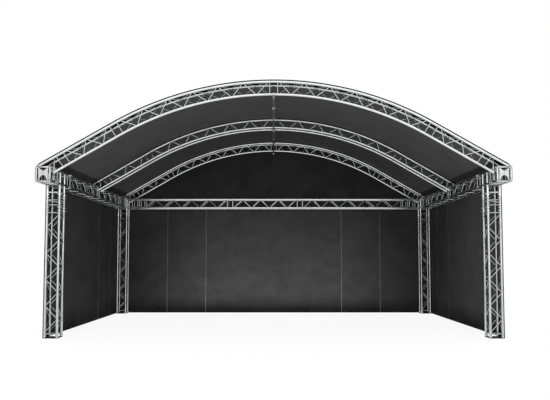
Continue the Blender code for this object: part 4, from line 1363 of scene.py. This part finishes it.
# %% Vault profile
CLOTH_THICKNESS = 0.0016
CLOTH_CLEARANCE = 0.0013
VAULT_RADIUS = ARCH_TOP_RADIUS + HEXAGON_PEAK + CLOTH_CLEARANCE
GRID_STEP = 0.055
canopy_low, canopy_high, _ = box("canopy")
VALANCE_X = box("side_wall_right")[0].x
VALANCE_BOTTOM = canopy_low.z
CURVE_RUN = VAULT_RADIUS * ARCH_HALF_ANGLE
SLOPE_RUN = slope_run_to(VAULT_RADIUS, VALANCE_X)
EAVE_Z = arch_place(VAULT_RADIUS, 0, 1, ARCH_HALF_ANGLE, SLOPE_RUN).z
VALANCE_RUN = EAVE_Z - VALANCE_BOTTOM
HALF_RUN = CURVE_RUN + SLOPE_RUN + VALANCE_RUN
print("canopy cut, metres:", round(2 * HALF_RUN, 2), "by", round(canopy_high.y - canopy_low.y, 2))


def vault_place(run):
    """The place on the vault and its outward normal, at a distance along it from the crown."""
    sign = -1 if run < 0 else 1
    run = abs(run)
    if run <= CURVE_RUN:
        angle = run / VAULT_RADIUS
        place = arch_place(VAULT_RADIUS, 0, sign, angle)
        return place, Vector((sign * math.sin(angle), 0, math.cos(angle)))
    if run <= CURVE_RUN + SLOPE_RUN:
        place = arch_place(VAULT_RADIUS, 0, sign, ARCH_HALF_ANGLE, run - CURVE_RUN)
        return place, Vector((sign * math.sin(ARCH_HALF_ANGLE), 0, math.cos(ARCH_HALF_ANGLE)))
    drop = run - CURVE_RUN - SLOPE_RUN
    return Vector((sign * VALANCE_X, 0, EAVE_Z - drop)), Vector((sign, 0, 0))


# %% [markdown]
# A cloth sheet is a grid made with `create_grid` and then bent, vertex by vertex, with a function
# that says where each point of the flat cloth goes. The flat place is kept as the UV map, in
# metres, so that the weave follows the cloth.

# %% Cloth sheets


def cloth_sheet(name, width, length, place_of, material, nodes, divisions=None):
    """Bend a flat grid, width by length metres, into its place."""
    columns = divisions[0] if divisions else round(width / GRID_STEP)
    rows = divisions[1] if divisions else round(length / GRID_STEP)
    sheet = bmesh.new()
    bmesh.ops.create_grid(sheet, x_segments=columns, y_segments=rows, size=0.5)
    layer = sheet.loops.layers.uv.verify()
    for face in sheet.faces:
        for loop in face.loops:
            loop[layer].uv = (loop.vert.co.x * width, loop.vert.co.y * length)
    for vert in sheet.verts:
        vert.co = place_of(vert.co.x * width, vert.co.y * length)
    data = bpy.data.meshes.new(name)
    sheet.to_mesh(data)
    sheet.free()
    data.shade_smooth()
    data.materials.append(material)
    return enter_piece(name, data, nodes)


def thicken(piece, thickness, offset):
    """Give a sheet its thickness with Solidify, as a live modifier."""
    wall = piece.modifiers.new("thickness", "SOLIDIFY")
    wall.thickness = thickness
    wall.offset = offset
    wall.use_even_offset = True


SAG = 0.022
CREASE = 0.0035
CREASE_MEAN = 0.6
EAVE_MARGIN = 0.1
SHEET_LIFT = 0.0012
# How deep the painted shade reaches in from the canopy's front edge.
EDGE_SHADE_DEPTH = 0.27
# Where the painted shade near the eaves starts.
EAVE_SHADE_X = 4.15
VALANCE_SETBACK = 0.042
SETBACK_RUN = (0.095, 0.035)
SETBACK_REACH = 0.35
EAVE_RUN = CURVE_RUN + SLOPE_RUN
arch_ys = [y for y, _ in ARCHES.values()]


def pulled_in(y):
    """How far the cloth draws in between two arches, from 0 at an arch to 1 mid-bay."""
    for near, far in zip(arch_ys, arch_ys[1:]):
        start, end = near + HALF_SPACING, far - HALF_SPACING
        if start < y < end:
            share = (y - start) / (end - start)
            return 4 * share * (1 - share)
    return 0.0


def smooth_share(value, start, end):
    """From 0 at start to 1 at end, with soft shoulders."""
    share = min(1.0, max(0.0, (value - start) / (end - start)))
    return share * share * (3 - 2 * share)


def ripple(x, y, pattern):
    """Noise at a place on a sheet; pattern holds its stretch along both axes and its seed."""
    return noise.noise(Vector((x * pattern[0], y * pattern[1], pattern[2])))


def edge_setback(across):
    """How far the canopy's front edge is drawn back: nothing on the vault, all on a valance."""
    start, end = (EAVE_RUN - run for run in SETBACK_RUN)
    return VALANCE_SETBACK * smooth_share(abs(across), start, end)


def canopy_place(across, along):
    """Where a point of the flat canopy goes."""
    place, out = vault_place(across)
    y = (canopy_low.y + canopy_high.y) / 2 + along
    y += edge_setback(across) * smooth_share(y, canopy_low.y + SETBACK_REACH, canopy_low.y)
    inward = 0.0
    if abs(across) < EAVE_RUN - EAVE_MARGIN:
        crease = ripple(across, y, (1.3, 2.2, 3.7)) + 0.5 * ripple(across, y, (4, 5, 9))
        inward = max(0.0, (SAG + CREASE * (CREASE_MEAN + crease)) * pulled_in(y))
    return place + Vector((0, y, 0)) + out * (SHEET_LIFT - inward)


canopy_length = canopy_high.y - canopy_low.y
canopy = cloth_sheet("vault_canopy", 2 * HALF_RUN, canopy_length, canopy_place, VINYL, ["canopy"])
canopy.data.materials.append(EDGE_SHADE_CLOTH)
canopy.data.materials.append(SHADED_MESH_CLOTH)
for face in canopy.data.polygons:
    # Faces near the eaves take the darker cloth: painted shade.
    if abs(face.center.x) > EAVE_SHADE_X:
        face.material_index = THIRD
    # Faces along the front edge take the near black cloth: painted shade.
    if face.center.y < canopy_low.y + EDGE_SHADE_DEPTH:
        face.material_index = SECOND
thicken(canopy, CLOTH_THICKNESS, 1.0)

# %% [markdown]
# The free edges of the canopy are doubled over a rope and stitched: a round hem, the bead that
# shows as a thin dark line on top of the front arch. It is swept along the same profile.

# %% Canopy hems
HEM_RADIUS = 0.0022
HEM_LIFT = 0.0018
HEM_STEPS = 320
VALANCE_HEM = 0.6
SIDE_HEM_RADIUS = 0.003
SIDE_HEM_INSET = 0.01
SIDE_HEM_LIFT = 0.004


def swept_hem(name, places, radius, widths=None):
    """A round hem along a list of places, as a mesh tube; widths scale it from place to place."""
    curve = bpy.data.curves.new(name, "CURVE")
    curve.dimensions = "3D"
    curve.bevel_depth = radius
    curve.bevel_resolution = 2
    curve.use_fill_caps = True
    spline = curve.splines.new("POLY")
    spline.points.add(len(places) - 1)
    for point, place, width in zip(spline.points, places, widths or [1] * len(places)):
        point.co = (*place, 1)
        point.radius = width
    holder = new_object(name + "_curve", curve)
    graph = bpy.context.evaluated_depsgraph_get()
    data = bpy.data.meshes.new_from_object(holder.evaluated_get(graph))
    bpy.data.objects.remove(holder, do_unlink=True)
    solid = bmesh.new()
    solid.from_mesh(data)
    bmesh.ops.remove_doubles(solid, verts=solid.verts, dist=MERGE)
    return finish_piece(name, solid, [WEBBING])


def end_hem(name, y, setback):
    """The hem along one end of the canopy: round over the vault, a flat fold down the valances."""
    places, widths = [], []
    for step in range(HEM_STEPS + 1):
        run = HALF_RUN * (2 * step / HEM_STEPS - 1)
        place, out = vault_place(run)
        width = VALANCE_HEM if abs(run) > EAVE_RUN else 1.0
        places.append(place + out * HEM_LIFT * width + Vector((0, y + setback(run), 0)))
        widths.append(width)
    return swept_hem(name, places, HEM_RADIUS, widths)


hems = [
    end_hem("canopy_front_hem", canopy_low.y + HEM_RADIUS, edge_setback),
    end_hem("canopy_rear_hem", canopy_high.y - HEM_RADIUS, lambda run: 0.0)]
side_hem_ys = (canopy_low.y + VALANCE_SETBACK + SIDE_HEM_RADIUS, canopy_high.y - SIDE_HEM_INSET)
for side_name, sign in SIDES.items():
    x = sign * (VALANCE_X + SIDE_HEM_RADIUS)
    ends = [Vector((x, y, VALANCE_BOTTOM + SIDE_HEM_LIFT)) for y in side_hem_ys]
    hems.append(swept_hem("canopy_{}_hem".format(side_name), ends, SIDE_HEM_RADIUS))

# %% [markdown]
# ## Gable and walls
#
# The gable cloth fills the rear arch. The rear wall and side walls hang from the beams to the
# floor, each made of panels joined by overlapping seams. All are stretched flat, with faint
# creases that run down from the hems. A seam is a narrow strip, one cloth thickness proud.

# %% Rear gable
gable_low, gable_high, _ = box("rear_gable")
GABLE_WIDTH = 2 * gable_high.x
GABLE_TOP_GAP = 0.001
GABLE_ROWS_HEIGHT = 1.9
GABLE_STEEPNESS = 6
GABLE_SEED = 2.0
CREASE_DEPTHS = (0.004, 0.0028, 0.0012)


def vault_height(x):
    """Height of the gable's top edge at x."""
    x = abs(x)
    radius = VAULT_RADIUS - GABLE_TOP_GAP
    if x <= radius * math.sin(ARCH_HALF_ANGLE):
        return ARCH_CENTRE_HEIGHT + math.sqrt(radius * radius - x * x)
    return arch_place(radius, 0, 1, ARCH_HALF_ANGLE, slope_run_to(radius, x)).z


def wall_crease(x, z, seed):
    """Depth of the creases in a stretched wall, in metres."""
    mean, broad, fine = CREASE_DEPTHS
    wide_folds = broad * ripple(x, z, (0.9, 0.6, seed))
    return mean + wide_folds + fine * ripple(x, z, (5.5, 1.1, seed + 7))


def fade_in(share, steepness):
    """From 0 at the two held edges of a sheet to 1 well inside."""
    return min(1.0, steepness * share * (1 - share))


def gable_place(across, up):
    """Where a point of the gable goes: its rows shrink to follow the vault."""
    share = up + 0.5
    x = across * GABLE_WIDTH
    z = gable_low.z + (vault_height(x) - gable_low.z) * share
    depth = fade_in(share, GABLE_STEEPNESS) * wall_crease(x, z, GABLE_SEED)
    return Vector((x, gable_low.y + depth, z))


# The gable takes the darker copy of the wall cloth: painted shade.
gable = cloth_sheet(
    "rear_gable_cloth", 1.0, 1.0, gable_place, SHADED_MESH_CLOTH, ["rear_gable"],
    divisions=(round(GABLE_WIDTH / GRID_STEP), round(GABLE_ROWS_HEIGHT / GRID_STEP)))
for loop, uv in zip(gable.data.loops, gable.data.uv_layers[0].data):
    corner = gable.data.vertices[loop.vertex_index].co
    uv.uv = (corner.x, corner.z)
thicken(gable, CLOTH_THICKNESS, 0.0)

# %% Walls
WALL_THICKNESS = 0.0012
SEAM_WIDTH = 0.022
SEAM_PROUD = 0.0012
SEAM_THICKNESS = 0.0016
WALL_HEMS = (("top", 1, -0.0025, 0.005), ("bottom", 0, 0.010, 0.004))
WALL_HEM_INSET = 0.005
REAR_SEAMS = (-3.06, -1.95, 1.95, 3.06)
SIDE_SEAMS = (3.40, 4.40)
REAR_SEED, SIDE_SEED = 11.0, 23.0
WALL_STEEPNESS = 8


def hung_wall(node, cloth, tape, directions, seams, seed):
    """A wall from the floor to the beam, with raised seams and hems at its top and bottom.

    directions holds the way along the wall and the way into the stage; seams are places along it.
    """
    name = node + "_cloth"
    way, inward = directions
    corners, middle = box(node)[:2], box(node)[2]
    low, high = corners
    width, height = abs((high - low).dot(way)), high.z - low.z
    start = middle + way * (low - middle).dot(way) - Z_AXIS * middle.z

    def place_at(distance, up, proud):
        share = up / height + 0.5
        z = low.z + height * share
        crease = wall_crease(distance, z, seed) - CREASE_DEPTHS[0]
        depth = fade_in(share, WALL_STEEPNESS) * crease + proud
        return start + way * distance + Z_AXIS * z + inward * depth

    wall = cloth_sheet(
        name, width, height, lambda across, up: place_at(across + width / 2, up, 0), cloth, [node])
    thicken(wall, WALL_THICKNESS, 0.0)
    for number, seam_place in enumerate(seams):
        distance = seam_place - low.dot(way)
        seam = cloth_sheet(
            "{}_seam_{}".format(name, number + 1), SEAM_WIDTH, height,
            lambda across, up: place_at(across + distance, up, SEAM_PROUD), tape, [],
            divisions=(2, round(height / GRID_STEP)))
        thicken(seam, SEAM_THICKNESS, 0.0)
    for label, corner, lift, radius in WALL_HEMS:
        line = start + Z_AXIS * (corners[corner].z + lift)
        places = [line + way * end for end in (WALL_HEM_INSET, width - WALL_HEM_INSET)]
        swept_hem("{}_{}_hem".format(name, label), places, radius)


hung_wall(
    "rear_wall", REAR_CLOTH, REAR_SEAM_TAPE, (X_AXIS, -Y_AXIS), REAR_SEAMS, REAR_SEED)
for side_name, sign in SIDES.items():
    hung_wall(
        "side_wall_" + side_name, SIDE_CLOTH, SEAM_TAPE, (Y_AXIS, -sign * X_AXIS),
        [FRONT_LEG_Y + seam for seam in SIDE_SEAMS], SIDE_SEED + sign)

# %% [markdown]
# ## Floor, light and background
#
# The photograph is a cut-out on white. A large pale floor takes the roof's shadow, and both the
# floor and the world are white to the camera and to anything that mirrors them. The floor keeps a
# small share of its own shading, so that the shadow stays. The light on the object is plain: a soft
# even sky and one very soft sun, low in front and a little to the right.

# %% Stage
FLOOR_SIZE = 60.0
FLOOR_GREY = 0.82
SKY_STRENGTH = 0.85
FLOOR_GLOW = 0.85
GLOW_STRENGTH = 1.08


def seen_directly(tree):
    """A socket that is 1 for the camera, mirrors and glass, and 0 for light on its way."""
    rays = add_node(tree, "ShaderNodeLightPath").outputs
    mirrored = combined(tree, "MAXIMUM", rays["Is Camera Ray"], rays["Is Glossy Ray"])
    return combined(tree, "MAXIMUM", mirrored, rays["Is Transmission Ray"])


world = bpy.data.worlds.new("studio_sky")
scene.world = world
world.use_nodes = True
tree = world.node_tree
background = tree.nodes["Background"]
background.inputs["Color"].default_value = (1, 1, 1, 1)
strength = value_range(tree, seen_directly(tree), 0.0, 1.0, SKY_STRENGTH)
tree.links.new(strength, background.inputs["Strength"])

floor_mesh = bmesh.new()
bmesh.ops.create_grid(floor_mesh, x_segments=1, y_segments=1, size=FLOOR_SIZE / 2)
floor_data = bpy.data.meshes.new("studio_floor")
floor_mesh.to_mesh(floor_data)
floor_mesh.free()
floor = new_object("studio_floor", floor_data)
pale, tree, shader = new_finish("studio_floor_pale", (FLOOR_GREY,) * 3, 0.9, specular=0.1)
glow = add_node(tree, "ShaderNodeEmission", in_Strength=GLOW_STRENGTH)
share = value_range(tree, seen_directly(tree), 0.0, 1.0, 0.0, FLOOR_GLOW)
mix = add_node(tree, "ShaderNodeMixShader", {
    "Fac": share, 1: shader.outputs["BSDF"], 2: glow.outputs["Emission"]})
tree.links.new(mix.outputs["Shader"], tree.nodes["Material Output"].inputs["Surface"])
floor_data.materials.append(pale)

# %% Lamp
LAMP_FROM_RIGHT = math.radians(6)
LAMP_HEIGHT_ANGLE = math.radians(12)
LAMP_SPREAD = math.radians(60)
LAMP_STRENGTH = 0.55

lamp_data = bpy.data.lights.new("front_soft_light", "SUN")
lamp_data.energy = LAMP_STRENGTH
lamp_data.angle = LAMP_SPREAD
lamp = new_object("front_soft_light", lamp_data)
lamp.rotation_euler = (math.pi / 2 - LAMP_HEIGHT_ANGLE, 0, LAMP_FROM_RIGHT)
scene.view_settings.view_transform = "Standard"
